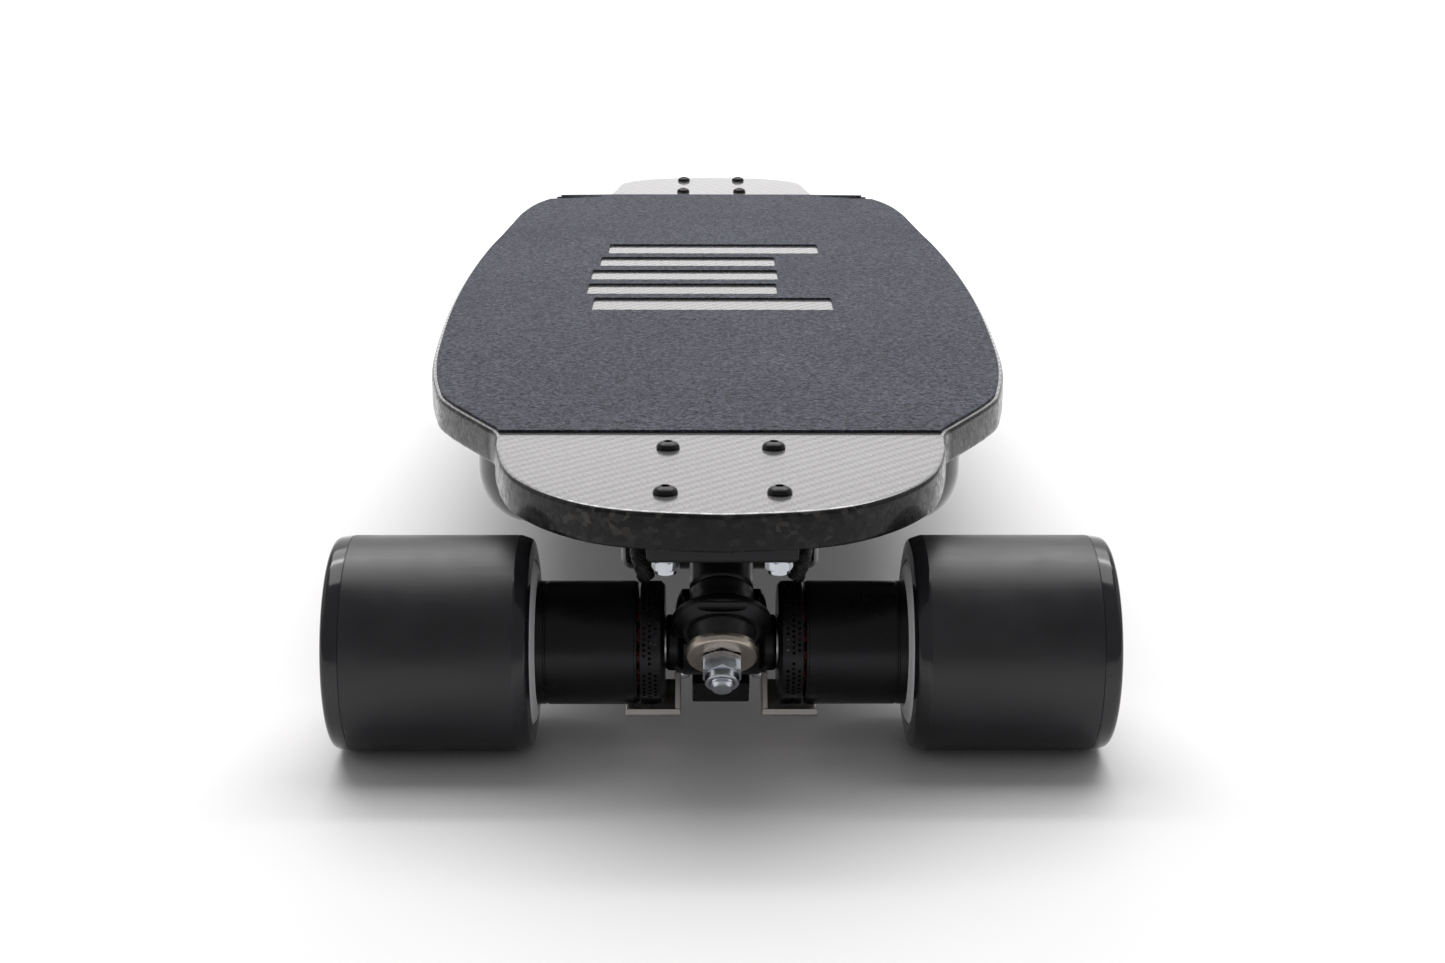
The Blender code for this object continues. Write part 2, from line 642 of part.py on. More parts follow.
def make_kingpin_set(end, truck):
    """The kingpin and what is stacked on it: bushing, the hanger's ring, bushing, cup washer and nut."""
    ring = RING_THICKNESS / 2
    low = -SEAT_FROM_RING - HEAD_FROM_SEAT
    nut_start = ring + GAP + BUSHING_HEIGHT + GAP + CUP_FLOOR + GAP
    tip = nut_start + KINGPIN_NUT_HEIGHT + KINGPIN_PROUD
    pin = KINGPIN_DIAMETER / 2
    head = KINGPIN_HEAD_DIAMETER / 2
    profile = [
        (0, tip),
        (pin - KINGPIN_CHAMFER, tip),
        (pin, tip - KINGPIN_CHAMFER),
        (pin, low),
        (head, low),
        (head, low - KINGPIN_HEAD_HEIGHT),
        (0, low - KINGPIN_HEAD_HEIGHT),
    ]
    turned(f"{end}_kingpin", profile, KINGPIN_SIDES, stack(RING, 0), zinc, truck)
    bore = pin + GAP
    bushing = BUSHING_DIAMETER / 2
    near = ring + GAP
    far = near + BUSHING_HEIGHT
    place = stack(RING, 0)
    taper = [
        (bushing - BUSHING_TAPER, far),
        (bushing, near + BUSHING_LAND),
        (bushing, near),
        (bore, near),
        (bore, far),
    ]
    turned(f"{end}_roadside_bushing", taper, KINGPIN_SIDES, place, bushing_rubber, truck, ring=True)
    barrel = tube_profile(bushing, bore, -far, -near)
    turned(f"{end}_boardside_bushing", barrel, KINGPIN_SIDES, place, bushing_rubber, truck, ring=True)
    cup = CUP_DIAMETER / 2
    seat = far + GAP + CUP_FLOOR
    washer = [
        (bore, seat),
        (cup - CUP_SLOPE, seat),
        (cup, seat - 0.4 * CUP_SLOPE),
        (cup, seat - CUP_HEIGHT),
        (cup - CUP_RIM, seat - CUP_HEIGHT),
        (cup - CUP_RIM, seat - CUP_FLOOR),
        (bore, seat - CUP_FLOOR),
    ]
    turned(f"{end}_cup_washer", washer, KINGPIN_SIDES, place, nickel, truck, ring=True)
    corners = KINGPIN_NUT_ACROSS_FLATS / 2 / cos(pi / 6)
    shoulder = nut_start + 0.62 * KINGPIN_NUT_HEIGHT
    high = nut_start + KINGPIN_NUT_HEIGHT
    flat_bore = bore / cos(pi / 6)
    nut = [
        (flat_bore, high),
        (0.78 * corners, high),
        (0.84 * corners, shoulder),
        (corners, shoulder),
        (corners, nut_start),
        (flat_bore, nut_start),
    ]
    turned(f"{end}_kingpin_nut", nut, 6, place @ Matrix.Rotation(pi / 6, 4, "Z"), zinc, truck, ring=True)


def make_pivot_cup(end, truck):
    inner = PIVOT_DIAMETER / 2 + GAP
    outer = inner + PIVOT_CUP_WALL
    depth = PIVOT_REACH + GAP
    floor = depth + PIVOT_CUP_FLOOR
    profile = [
        (0, -depth),
        (inner, -depth),
        (inner, -PIVOT_MOUTH),
        (outer, -PIVOT_MOUTH),
        (outer, -floor),
        (0, -floor),
    ]
    turned(f"{end}_pivot_cup", profile, 16, toward(AXLE, STEER_AXIS), bushing_rubber, truck)


def make_hanger(end, hanger):
    """Modelled about the axle's centre, with the steering axis through it."""
    lean = toward(Vector(), STEER_AXIS)
    ring_place = toward(STEER_AXIS * RING_ABOVE_AXLE, KINGPIN_AXIS)
    thick = RING_THICKNESS / 2
    rim = tube_ends(RING_DIAMETER / 2, thick, RING_CHAMFER)
    body = turned(f"{end}_hanger", rim, 24, ring_place, black_metal, hanger)
    reach = RING_ABOVE_AXLE - 0.6 * RING_DIAMETER / 2 + PIVOT_DIAMETER
    size = Vector((2 * ARM_START + WELD_DEPTH, RING_THICKNESS - BRIDGE_STEP, reach))
    bridge = block(f"{end}_hanger_bridge", size, Vector(), parent=hanger)
    bridge.matrix_local = lean @ Matrix.Translation((0, 0, reach / 2 - 0.8 * PIVOT_DIAMETER))
    weld(body, bridge)
    pivot = rod_profile(PIVOT_DIAMETER / 2, -PIVOT_REACH, 0)
    weld(body, turned(f"{end}_hanger_pivot", pivot, 16, lean, parent=hanger))
    motors = end == "tail"
    arm_end = END_BELL_START + ARM_PAST_BELL if motors else SPINDLE_SHOULDER
    arm = ARM_DIAMETER / 2
    spindle = SPINDLE_DIAMETER / 2
    tip = SPINDLE_TIP_DIAMETER / 2
    step = SPINDLE_SHOULDER + SPINDLE_STEP
    profile = [(0, SPINDLE_END), (tip, SPINDLE_END), (tip, step)]
    if motors:
        profile += [(spindle, step), (spindle, arm_end)]
    else:
        profile += [(tip, step - ARM_CHAMFER / 10), (spindle, SPINDLE_SHOULDER)]
    profile += [(arm, arm_end - ARM_CHAMFER), (arm, ARM_START), (0, ARM_START)]
    for side_name, side in SIDES.items():
        weld(body, turned(f"{end}_{side_name}_arm", profile, 16, across(side, Vector()), parent=hanger))
    ring_bore = rod_profile(RING_BORE / 2, -thick - CUT_PAST, thick + CUT_PAST)
    cut(body, turned(f"{end}_ring_bore", ring_bore, KINGPIN_SIDES, ring_place, parent=hanger))
    length = SPINDLE_END + CUT_PAST
    axle_bore = rod_profile(AXLE_DIAMETER / 2 + GAP, -length, length)
    cut(body, turned(f"{end}_axle_bore", axle_bore, 12, across(1, Vector()), parent=hanger))


def tube_ends(radius, half, chamfer):
    return [
        (0, half),
        (radius - chamfer, half),
        (radius, half - chamfer),
        (radius, chamfer - half),
        (radius - chamfer, -half),
        (0, -half),
    ]


def make_axle(end, hanger):
    """The axle rod, with its end nuts on it."""
    rod = AXLE_DIAMETER / 2
    nut = 0.5 * AXLE_NUT_ACROSS / cos(pi / 6)
    nut_low = WHEEL_OUTER_FACE - AXLE_RECESS
    nut_high = nut_low + AXLE_NUT_HEIGHT
    tip = nut_high + AXLE_PROUD
    half = [
        (rod - AXLE_CHAMFER, tip),
        (rod, tip - AXLE_CHAMFER),
        (rod, nut_high),
        (0.8 * nut, nut_high),
        (nut, nut_high - AXLE_NUT_CHAMFER),
        (nut, nut_low),
        (rod, nut_low),
    ]
    profile = [(0, tip)] + half + [(radius, -height) for radius, height in reversed(half)] + [(0, -tip)]
    turned(f"{end}_axle", profile, 12, across(1, Vector()), steel, hanger)


def make_motor(side_name, side, hanger):
    """What stands still of a motor: end bell, stator and the guard under it."""
    outer = MOTOR_DIAMETER / 2
    arm = ARM_DIAMETER / 2 + GAP
    place = across(side, Vector())
    bell_end = ROTOR_START - 2 * GAP
    floor = END_BELL_START + END_BELL_WALL
    bell = [
        (outer - END_BELL_WALL, bell_end),
        (outer, bell_end),
        (outer, END_BELL_START + END_BELL_CHAMFER),
        (outer - END_BELL_CHAMFER, END_BELL_START),
        (arm, END_BELL_START),
        (arm, floor),
        (outer - END_BELL_WALL, floor),
    ]
    turned(f"{side_name}_motor_end_bell", bell, 24, place, black_metal, hanger, ring=True)
    bore = SPINDLE_DIAMETER / 2 + GAP
    stator = tube_profile(outer - ROTOR_WALL - AIR_GAP, bore, STATOR_START, STATOR_START + STATOR_LENGTH)
    turned(f"{side_name}_motor_stator", stator, 20, place, copper, hanger, ring=True)
    inside = outer + GUARD_CLEARANCE
    outside = inside + GUARD_SHEET
    low = -pi / 2 - GUARD_ARC / 2
    high = -pi / 2 + GUARD_ARC / 2
    skirt = arc((0, 0), outside, low, high, 8) + arc((0, 0), inside, high, low, 8)
    width = GUARD_END - GUARD_START
    skirt_place = side * (GUARD_START + width / 2)
    guard = side_plate(f"{side_name}_motor_guard", skirt, skirt_place, width, steel, hanger)
    root = arc((0, 0), arm + GAP, high - GUARD_OVERLAP, low + GUARD_OVERLAP, 7)
    web = arc((0, 0), outside - GUARD_INSET, low, high, 8) + root
    web_place = side * (GUARD_START + GUARD_SHEET / 2)
    weld(guard, side_plate(f"{side_name}_guard_web", web, web_place, GUARD_SHEET, parent=hanger))


def make_rotor(side_name, side, wheel):
    outer = MOTOR_DIAMETER / 2
    inner = outer - ROTOR_WALL
    hub = SPINDLE_TIP_DIAMETER / 2 + ROTOR_HUB_CLEARANCE
    end = WHEEL_INNER_FACE + ROTOR_INSERT
    floor = end - ROTOR_FLOOR
    profile = [
        (outer, end),
        (outer, ROTOR_START),
        (inner, ROTOR_START),
        (inner, floor),
        (hub, floor),
        (hub, end),
    ]
    place = across(side, Vector())
    turned(f"{side_name}_motor_rotor", profile, MOTOR_SIDES, place, black_metal, wheel, ring=True)


def make_wheel(end, side_name, side, wheel):
    """Tyre, core and two bearings, turned about the axle. Heights run outward from the centre line."""
    near = WHEEL_INNER_FACE
    far = WHEEL_OUTER_FACE
    radius = WHEEL_DIAMETER / 2
    rim = radius - TYRE_WALL
    name = f"{end}_{side_name}"
    place = across(side, Vector())
    tyre = [
        (rim, far - 1 * MM),
        (radius - 5 * MM, far),
        (radius - 1.8 * MM, far - 2 * MM),
        (radius, far - 6.5 * MM),
        (radius, near + 5 * MM),
        (radius - 1.4 * MM, near + 1.4 * MM),
        (radius - 4 * MM, near),
        (rim, near + 0.6 * MM),
    ]
    turned(f"{name}_tyre", tyre, 32, place, urethane, wheel, ring=True)
    seat = BEARING_DIAMETER / 2 + GAP
    tube = MOTOR_DIAMETER / 2 + GAP
    inner_seat = near + ROTOR_INSERT + GAP
    outer_seat = far - OUTER_BEARING_DEPTH
    hub = SPINDLE_TIP_DIAMETER / 2 + CORE_HUB_CLEARANCE
    mouth = near + CORE_INSET
    back = far - CORE_BACK_INSET
    core = [
        (rim - GAP, back),
        (rim - GAP, mouth),
        (tube, mouth),
        (tube, inner_seat),
        (seat, inner_seat),
        (seat, inner_seat + BEARING_WIDTH + GAP),
        (hub, inner_seat + BEARING_WIDTH + GAP),
        (hub, outer_seat - BEARING_WIDTH - GAP),
        (seat, outer_seat - BEARING_WIDTH - GAP),
        (seat, outer_seat),
        (seat + CORE_HUB_WALL, outer_seat),
        (rim - 5 * MM, outer_seat - 6 * MM),
        (rim - 3.4 * MM, back),
    ]
    turned(f"{name}_core", core, MOTOR_SIDES, place, core_plastic, wheel, ring=True)
    bore = AXLE_DIAMETER / 2 + GAP
    race = tube_profile(BEARING_DIAMETER / 2, bore, inner_seat + GAP, inner_seat + BEARING_WIDTH)
    turned(f"{name}_inner_bearing", race, 12, place, steel, wheel, ring=True)
    race = tube_profile(BEARING_DIAMETER / 2, bore, outer_seat - BEARING_WIDTH, outer_seat)
    turned(f"{name}_outer_bearing", race, 12, place, steel, wheel, ring=True)


def make_cable(side_name, side):
    """The motor's cable in its sleeve, from the cable box down to the end bell."""
    end_bell = TRUCK_Y["tail"] + AXLE_OFFSET
    box_face = TAIL_TIP + CABLE_BOX_FROM_TAIL - CABLE_BOX_SIZE.y / 2 - GAP
    top = MOTOR_DIAMETER / 2
    knots = [
        Vector((side * CABLE_APART / 2, box_face, AXLE_Z + CABLE_DROP)),
        Vector((side * CABLE_APART / 2, box_face - 9 * MM, AXLE_Z + CABLE_DROP)),
        Vector((side * 28.5 * MM, end_bell + 12 * MM, AXLE_Z + 36 * MM)),
        Vector((side * 27 * MM, end_bell + 6 * MM, AXLE_Z + top + CABLE_DIAMETER / 2 + 1.2 * MM)),
    ]
    curve = bpy.data.curves.new(f"{side_name}_motor_cable", "CURVE")
    curve.dimensions = "3D"
    curve.bevel_depth = CABLE_DIAMETER / 2
    curve.bevel_resolution = 2
    curve.use_fill_caps = True
    steps = 10
    points = [bezier(knots, i / steps) for i in range(steps + 1)]
    spline = curve.splines.new("POLY")
    spline.points.add(steps)
    for spot, point in zip(spline.points, points):
        spot.co = (*point, 1)
    curve.materials.append(rubber_sleeve)
    cable = bpy.data.objects.new(f"{side_name}_motor_cable", curve)
    parts.objects.link(cable)
    cable.parent = board


def bezier(knots, t):
    points = list(knots)
    while len(points) > 1:
        points = [a.lerp(b, t) for a, b in zip(points, points[1:])]
    return points[0]


make_deck()
tub = make_enclosure()
make_controls(tub)
make_inside()
make_cable_box()
for end, y in TRUCK_Y.items():
    make_bolts(end)
    truck_place = Matrix.Translation((0, y, 0)) @ Matrix.Rotation(TURN[end], 4, "Z")
    truck = empty(f"{end}_truck_place", truck_place, board)
    make_baseplate(end, truck)
    make_kingpin_set(end, truck)
    make_pivot_cup(end, truck)
    hanger = empty(f"{end}_steering_axis", Matrix.Translation(AXLE), truck)
    make_hanger(end, hanger)
    make_axle(end, hanger)
    for side_name, side in SIDES.items():
        turned_side = side if end == "nose" else -side
        wheel = empty(f"{end}_{side_name}_spin_axis", Matrix.Identity(4), hanger)
        make_wheel(end, side_name, turned_side, wheel)
        if end == "tail":
            make_motor(side_name, turned_side, hanger)
            make_rotor(side_name, turned_side, wheel)
            make_cable(side_name, side)
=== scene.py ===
# %% [markdown]
# # An electric skateboard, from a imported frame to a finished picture
# The frame holds every solid at its real size. This lesson dresses it: it rebuilds the pieces that need a
# finer surface, gives each piece a procedural material, and sets a plain studio round it.

# %% Load the frame
import json
from math import atan2, cos, pi, radians, sin, tan

import bmesh
import bpy
from mathutils import Matrix, Vector


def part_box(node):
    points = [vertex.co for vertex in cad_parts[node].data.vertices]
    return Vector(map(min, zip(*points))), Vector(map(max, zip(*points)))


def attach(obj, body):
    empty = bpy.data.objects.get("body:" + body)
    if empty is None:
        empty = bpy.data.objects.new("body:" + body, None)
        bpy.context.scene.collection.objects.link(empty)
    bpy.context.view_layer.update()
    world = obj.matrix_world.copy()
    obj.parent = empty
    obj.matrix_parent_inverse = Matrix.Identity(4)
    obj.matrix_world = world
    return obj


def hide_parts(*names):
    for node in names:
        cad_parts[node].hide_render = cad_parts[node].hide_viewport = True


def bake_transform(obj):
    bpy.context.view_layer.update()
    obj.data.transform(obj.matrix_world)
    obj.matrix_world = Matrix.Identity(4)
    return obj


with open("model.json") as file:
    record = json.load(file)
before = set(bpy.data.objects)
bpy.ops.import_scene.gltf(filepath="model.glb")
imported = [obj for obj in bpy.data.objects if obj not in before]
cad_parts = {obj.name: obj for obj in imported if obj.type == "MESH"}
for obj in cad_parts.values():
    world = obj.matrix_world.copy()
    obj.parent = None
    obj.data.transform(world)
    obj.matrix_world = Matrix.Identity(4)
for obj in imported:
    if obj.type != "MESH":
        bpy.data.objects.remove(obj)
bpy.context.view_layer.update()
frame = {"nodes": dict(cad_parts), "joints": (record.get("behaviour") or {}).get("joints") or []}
nodes = frame["nodes"]

# %% [markdown]
# Every place below is measured on the frame. Each axle's middle is the place of its steering joint, and the
# steering axis is the one that the joint turns about. The kingpin stands square to it, and points down.

# %% Measure the frame
MM = 0.001
X_AXIS = Vector((1, 0, 0))


def middle(node):
    low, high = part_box(node)
    return (Vector(low) + Vector(high)) / 2


def span(node, axis):
    low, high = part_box(node)
    return high[axis] - low[axis]


joints = {joint["name"]: joint for joint in frame["joints"]}
axle = {}
steer_axis = {}
kingpin_axis = {}
ring_center = {}
for end in ("tail", "nose"):
    axle[end] = Vector(joints[f"{end}_steer"]["pos_m"])
    steer_axis[end] = Vector(joints[f"{end}_steer"]["axis"]).normalized()
    pin = X_AXIS.cross(steer_axis[end])
    kingpin_axis[end] = pin if pin.z < 0 else -pin
    board_side = middle(f"{end}_boardside_bushing")
    along = (middle(f"{end}_cup_washer") - board_side).dot(kingpin_axis[end])
    offset = (board_side - axle[end]).dot(steer_axis[end])
    ring_center[end] = axle[end] + steer_axis[end] * offset
    print(f"{end}: axle {axle[end][:]}, ring {offset / MM:.1f} mm up its steering axis,",
          f"washer {along / MM:.1f} mm on")

deck_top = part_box("deck")[1][2]
deck_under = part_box("deck")[0][2]
wheel_radius = span("tail_left_tyre", 2) / 2
wheel_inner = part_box("tail_right_tyre")[0][0]
wheel_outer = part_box("tail_right_tyre")[1][0]
motor_radius = span("right_motor_rotor", 2) / 2
print(f"deck top {deck_top / MM:.1f} mm, wheel {2 * wheel_radius / MM:.1f} mm,",
      f"motor {2 * motor_radius / MM:.1f} mm")

# %% [markdown]
# ## Mesh helpers
# Most of this machine is turned or cut from plate, so two helpers carry it: a lathe that sweeps a profile
# round an axis, and a plate that gives a flat outline a thickness. Corners are rounded in the profile itself,
# because a real lathe tool leaves a radius and light needs one to catch.

# %% A placement with its Z axis on a direction
def toward(point, direction):
    return Matrix.Translation(point) @ Vector(direction).to_track_quat("Z", "Y").to_matrix().to_4x4()


def finish_piece(name, mesh, place, materials, body, angle=35):
    """Makes the object, shades it smooth up to an angle, and hangs it on its body."""
    obj = bpy.data.objects.new(name, mesh)
    bpy.context.scene.collection.objects.link(obj)
    obj.matrix_world = place
    for material in materials if isinstance(materials, (list, tuple)) else [materials]:
        mesh.materials.append(material)
    if angle:
        mesh.shade_smooth()
        mesh.set_sharp_from_angle(angle=radians(angle))
    bpy.context.view_layer.update()
    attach(obj, body)
    return obj


def bending_piece(name, mesh, place, material, ends):
    """Like finish_piece, but bakes its placement into the mesh, shades it smooth all over, and hangs it on no
    body. ends is not used.
    """
    obj = bpy.data.objects.new(name, mesh)
    bpy.context.scene.collection.objects.link(obj)
    obj.matrix_world = place
    mesh.materials.append(material)
    mesh.shade_smooth()
    bpy.context.view_layer.update()
    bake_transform(obj)
    return obj


# %% Round the corners of a profile
def filleted(points, steps=5):
    """(x, y, radius) corners become (x, y) points, each corner an arc of its own radius."""
    rounded = []
    for i, (x, y, radius) in enumerate(points):
        here = Vector((x, y))
        if radius == 0:
            rounded.append((x, y))
            continue
        before = Vector(points[i - 1][:2]) - here
        after = Vector(points[(i + 1) % len(points)][:2]) - here
        half = before.angle(after) / 2
        reach = min(radius / tan(half), 0.49 * before.length, 0.49 * after.length)
        start = here + before.normalized() * reach
        end = here + after.normalized() * reach
        for step in range(steps + 1):
            t = step / steps
            rounded.append(tuple(start.lerp(here, t).lerp(here.lerp(end, t), t)))
    return rounded


# %% The lathe
def lathe_mesh(name, profile, steps=96, closed=True, zones=None):
    """A profile of (radius, height) points swept round Z. zones gives a material index for each stretch."""
    mesh = bpy.data.meshes.new(name)
    shape = bmesh.new()
    rings = []
    for radius, height in profile:
        if radius < 1e-7:
            rings.append([shape.verts.new((0, 0, height))] * steps)
            continue
        turns = [2 * pi * i / steps for i in range(steps)]
        rings.append([shape.verts.new((radius * cos(a), radius * sin(a), height)) for a in turns])
    pairs = list(zip(range(len(rings)), range(1, len(rings))))
    if closed:
        pairs.append((len(rings) - 1, 0))
    for number, (a, b) in enumerate(pairs):
        for i in range(steps):
            j = (i + 1) % steps
            corners = []
            for vert in (rings[a][i], rings[a][j], rings[b][j], rings[b][i]):
                if vert not in corners:
                    corners.append(vert)
            if len(corners) > 2:
                face = shape.faces.new(corners)
                face.material_index = zones(number) if zones else 0
    bmesh.ops.recalc_face_normals(shape, faces=shape.faces)
    shape.to_mesh(mesh)
    shape.free()
    return mesh


# %% Plates, blocks and prisms
def plate_mesh(name, outline, thickness):
    """A flat outline of (x, y) points with a thickness, from z = 0 up."""
    mesh = bpy.data.meshes.new(name)
    shape = bmesh.new()
    bottom = shape.faces.new([shape.verts.new((x, y, 0)) for x, y in outline])
    top = bmesh.ops.extrude_face_region(shape, geom=[bottom])["geom"]
    raised = [v for v in top if isinstance(v, bmesh.types.BMVert)]
    bmesh.ops.translate(shape, verts=raised, vec=(0, 0, thickness))
    bmesh.ops.recalc_face_normals(shape, faces=shape.faces)
    shape.to_mesh(mesh)
    shape.free()
    return mesh


def rounded_box_mesh(name, size, radius, segments=5):
    mesh = bpy.data.meshes.new(name)
    shape = bmesh.new()
    bmesh.ops.create_cube(shape, size=1.0)
    bmesh.ops.scale(shape, vec=size, verts=shape.verts)
    bmesh.ops.bevel(shape, geom=shape.edges, offset=radius, segments=segments, profile=0.5, affect="EDGES")
    shape.to_mesh(mesh)
    shape.free()
    return mesh


def soften(obj, width, segments=3, angle=35):
    bevel = obj.modifiers.new("soft_edges", "BEVEL")
    bevel.width = width
    bevel.segments = segments
    bevel.limit_method = "ANGLE"
    bevel.angle_limit = radians(angle)


# %% Join and cut meshes once, so that copies can share the result
def combined(name, first, steps):
    """Runs Boolean steps [(operation, mesh, placement)] on a mesh and returns the finished mesh."""
    base = bpy.data.objects.new(name, first)
    bpy.context.scene.collection.objects.link(base)
    tools = []
    for operation, mesh, place in steps:
        tool = bpy.data.objects.new(name + "_tool", mesh)
        bpy.context.scene.collection.objects.link(tool)
        tool.matrix_world = place
        modifier = base.modifiers.new("step", "BOOLEAN")
        modifier.operation = operation
        modifier.object = tool
        tools.append(tool)
    bpy.context.view_layer.update()
    graph = bpy.context.evaluated_depsgraph_get()
    result = bpy.data.meshes.new_from_object(base.evaluated_get(graph))
    for obj in [base] + tools:
        bpy.data.objects.remove(obj)
    result.name = name
    result.materials.clear()
    return result


# %% [markdown]
# A forged or milled truck has no knife edges where its limbs meet. To get those fillets, the limbs are simple
# overlapping solids, remeshed into one skin of small cubes' size and then relaxed. Crisp holes are cut after.

# %% Melt overlapping solids into one skin
def melted(name, solids, voxel, relax):
    base = bpy.data.objects.new(name, bpy.data.meshes.new(name))
    bpy.context.scene.collection.objects.link(base)
    shape = bmesh.new()
    for mesh, place in solids:
        part = bmesh.new()
        part.from_mesh(mesh)
        part.transform(place)
        scratch = bpy.data.meshes.new("scratch")
        part.to_mesh(scratch)
        part.free()
        shape.from_mesh(scratch)
        bpy.data.meshes.remove(scratch)
    shape.to_mesh(base.data)
    shape.free()
    skin = base.modifiers.new("skin", "REMESH")
    skin.mode = "VOXEL"
    skin.voxel_size = voxel
    smooth = base.modifiers.new("relax", "SMOOTH")
    smooth.factor = 0.5
    smooth.iterations = relax
    bpy.context.view_layer.update()
    graph = bpy.context.evaluated_depsgraph_get()
    result = bpy.data.meshes.new_from_object(base.evaluated_get(graph))
    bpy.data.objects.remove(base)
    result.name = name
    return result


# %% [markdown]
# ## Materials
# Each finish is one small node graph. A helper opens the graph and hands back the shader, and short helpers
# add noise, weave and bump in the object's own coordinates, so a pattern keeps its real size in millimetres.

# %% Open a material
def new_finish(name, color, roughness, metallic=0.0, **sockets):
    material = bpy.data.materials.new(name)
    material.use_nodes = True
    graph = material.node_tree
    shader = graph.nodes["Principled BSDF"]
    shader.inputs["Base Color"].default_value = (*color, 1)
    shader.inputs["Roughness"].default_value = roughness
    shader.inputs["Metallic"].default_value = metallic
    for socket, value in sockets.items():
        shader.inputs[socket.replace("_", " ")].default_value = value
    return material, graph, shader


def node(graph, kind, **settings):
    made = graph.nodes.new(kind)
    for key, value in settings.items():
        setattr(made, key, value)
    return made


def own_coordinates(graph):
    return node(graph, "ShaderNodeTexCoord").outputs["Object"]


def calc(graph, operation, first, second=None):
    """One step of arithmetic on sockets or plain numbers."""
    made = node(graph, "ShaderNodeMath", operation=operation)
    for i, value in enumerate((first, second)):
        if value is None:
            continue
        if isinstance(value, (int, float)):
            made.inputs[i].default_value = value
        else:
            graph.links.new(value, made.inputs[i])
    return made.outputs[0]


def noise(graph, scale, detail=3.0, stretch=None):
    made = node(graph, "ShaderNodeTexNoise")
    made.inputs["Scale"].default_value = scale
    made.inputs["Detail"].default_value = detail
    source = own_coordinates(graph)
    if stretch:
        mapping = node(graph, "ShaderNodeMapping")
        mapping.inputs["Scale"].default_value = stretch
        graph.links.new(source, mapping.inputs["Vector"])
        source = mapping.outputs["Vector"]
    graph.links.new(source, made.inputs["Vector"])
    return made.outputs["Fac"]


def between(graph, value, low, high, out_low, out_high):
    made = node(graph, "ShaderNodeMapRange")
    for socket, number in zip(("From Min", "From Max", "To Min", "To Max"), (low, high, out_low, out_high)):
        made.inputs[socket].default_value = number
    graph.links.new(value, made.inputs["Value"])
    return made.outputs["Result"]


def color_between(graph, value, dark, light):
    made = node(graph, "ShaderNodeMix", data_type="RGBA")
    made.inputs["A"].default_value = (*dark, 1)
    made.inputs["B"].default_value = (*light, 1)
    graph.links.new(value, made.inputs["Factor"])
    return made.outputs["Result"]


def bump(graph, shader, height, distance, strength=1.0):
    made = node(graph, "ShaderNodeBump")
    made.inputs["Distance"].default_value = distance
    made.inputs["Strength"].default_value = strength
    graph.links.new(height, made.inputs["Height"])
    graph.links.new(made.outputs["Normal"], shader.inputs["Normal"])


# %% [markdown]
# **Carbon twill.** The deck's faces are woven carbon under clear resin. In a 2x2 twill each tow passes over
# two and under two, one step aside each row, which draws the fine diagonal. The weave is worked out from the
# tow number each way, and the two directions differ a little in tone and in how they catch the light.

# %% Carbon twill under resin
TOW = 2.0 * MM


def carbon_twill():
    material, graph, shader = new_finish(
        "carbon_twill", (0.05, 0.05, 0.052), 0.32, 0.55, Coat_Weight=1.0, Coat_Roughness=0.035, Coat_IOR=1.62)
    split = node(graph, "ShaderNodeSeparateXYZ")
    graph.links.new(own_coordinates(graph), split.inputs[0])
    u = calc(graph, "DIVIDE", split.outputs["X"], TOW)
    v = calc(graph, "DIVIDE", split.outputs["Y"], TOW)
    step = calc(graph, "SUBTRACT", calc(graph, "FLOOR", u), calc(graph, "FLOOR", v))
    over = calc(graph, "LESS_THAN", calc(graph, "FLOORED_MODULO", step, 4.0), 1.5)
    across = calc(graph, "ABSOLUTE", calc(graph, "SINE", calc(graph, "MULTIPLY", u, pi)))
    lengthwise = calc(graph, "ABSOLUTE", calc(graph, "SINE", calc(graph, "MULTIPLY", v, pi)))
    crown = node(graph, "ShaderNodeMix", data_type="FLOAT")
    graph.links.new(over, crown.inputs["Factor"])
    graph.links.new(across, crown.inputs["A"])
    graph.links.new(lengthwise, crown.inputs["B"])
    mottle = noise(graph, 14.0, 3.0)
    tone = calc(graph, "ADD", calc(graph, "MULTIPLY", over, 0.75), calc(graph, "MULTIPLY", mottle, 0.35))
    graph.links.new(color_between(graph, tone, (0.075, 0.073, 0.073), (0.17, 0.165, 0.163)),
                    shader.inputs["Base Color"])
    graph.links.new(between(graph, over, 0, 1, 0.36, 0.27), shader.inputs["Roughness"])
    bump(graph, shader, crown.outputs["Result"], 0.00003, 0.5)
    return material


# %% [markdown]
# **Chopped carbon.** The moulded rim is made of short tows lying every way, which show as small flecks.
# A cell pattern gives each fleck one tone, and a thinner coat of resin lies over it.

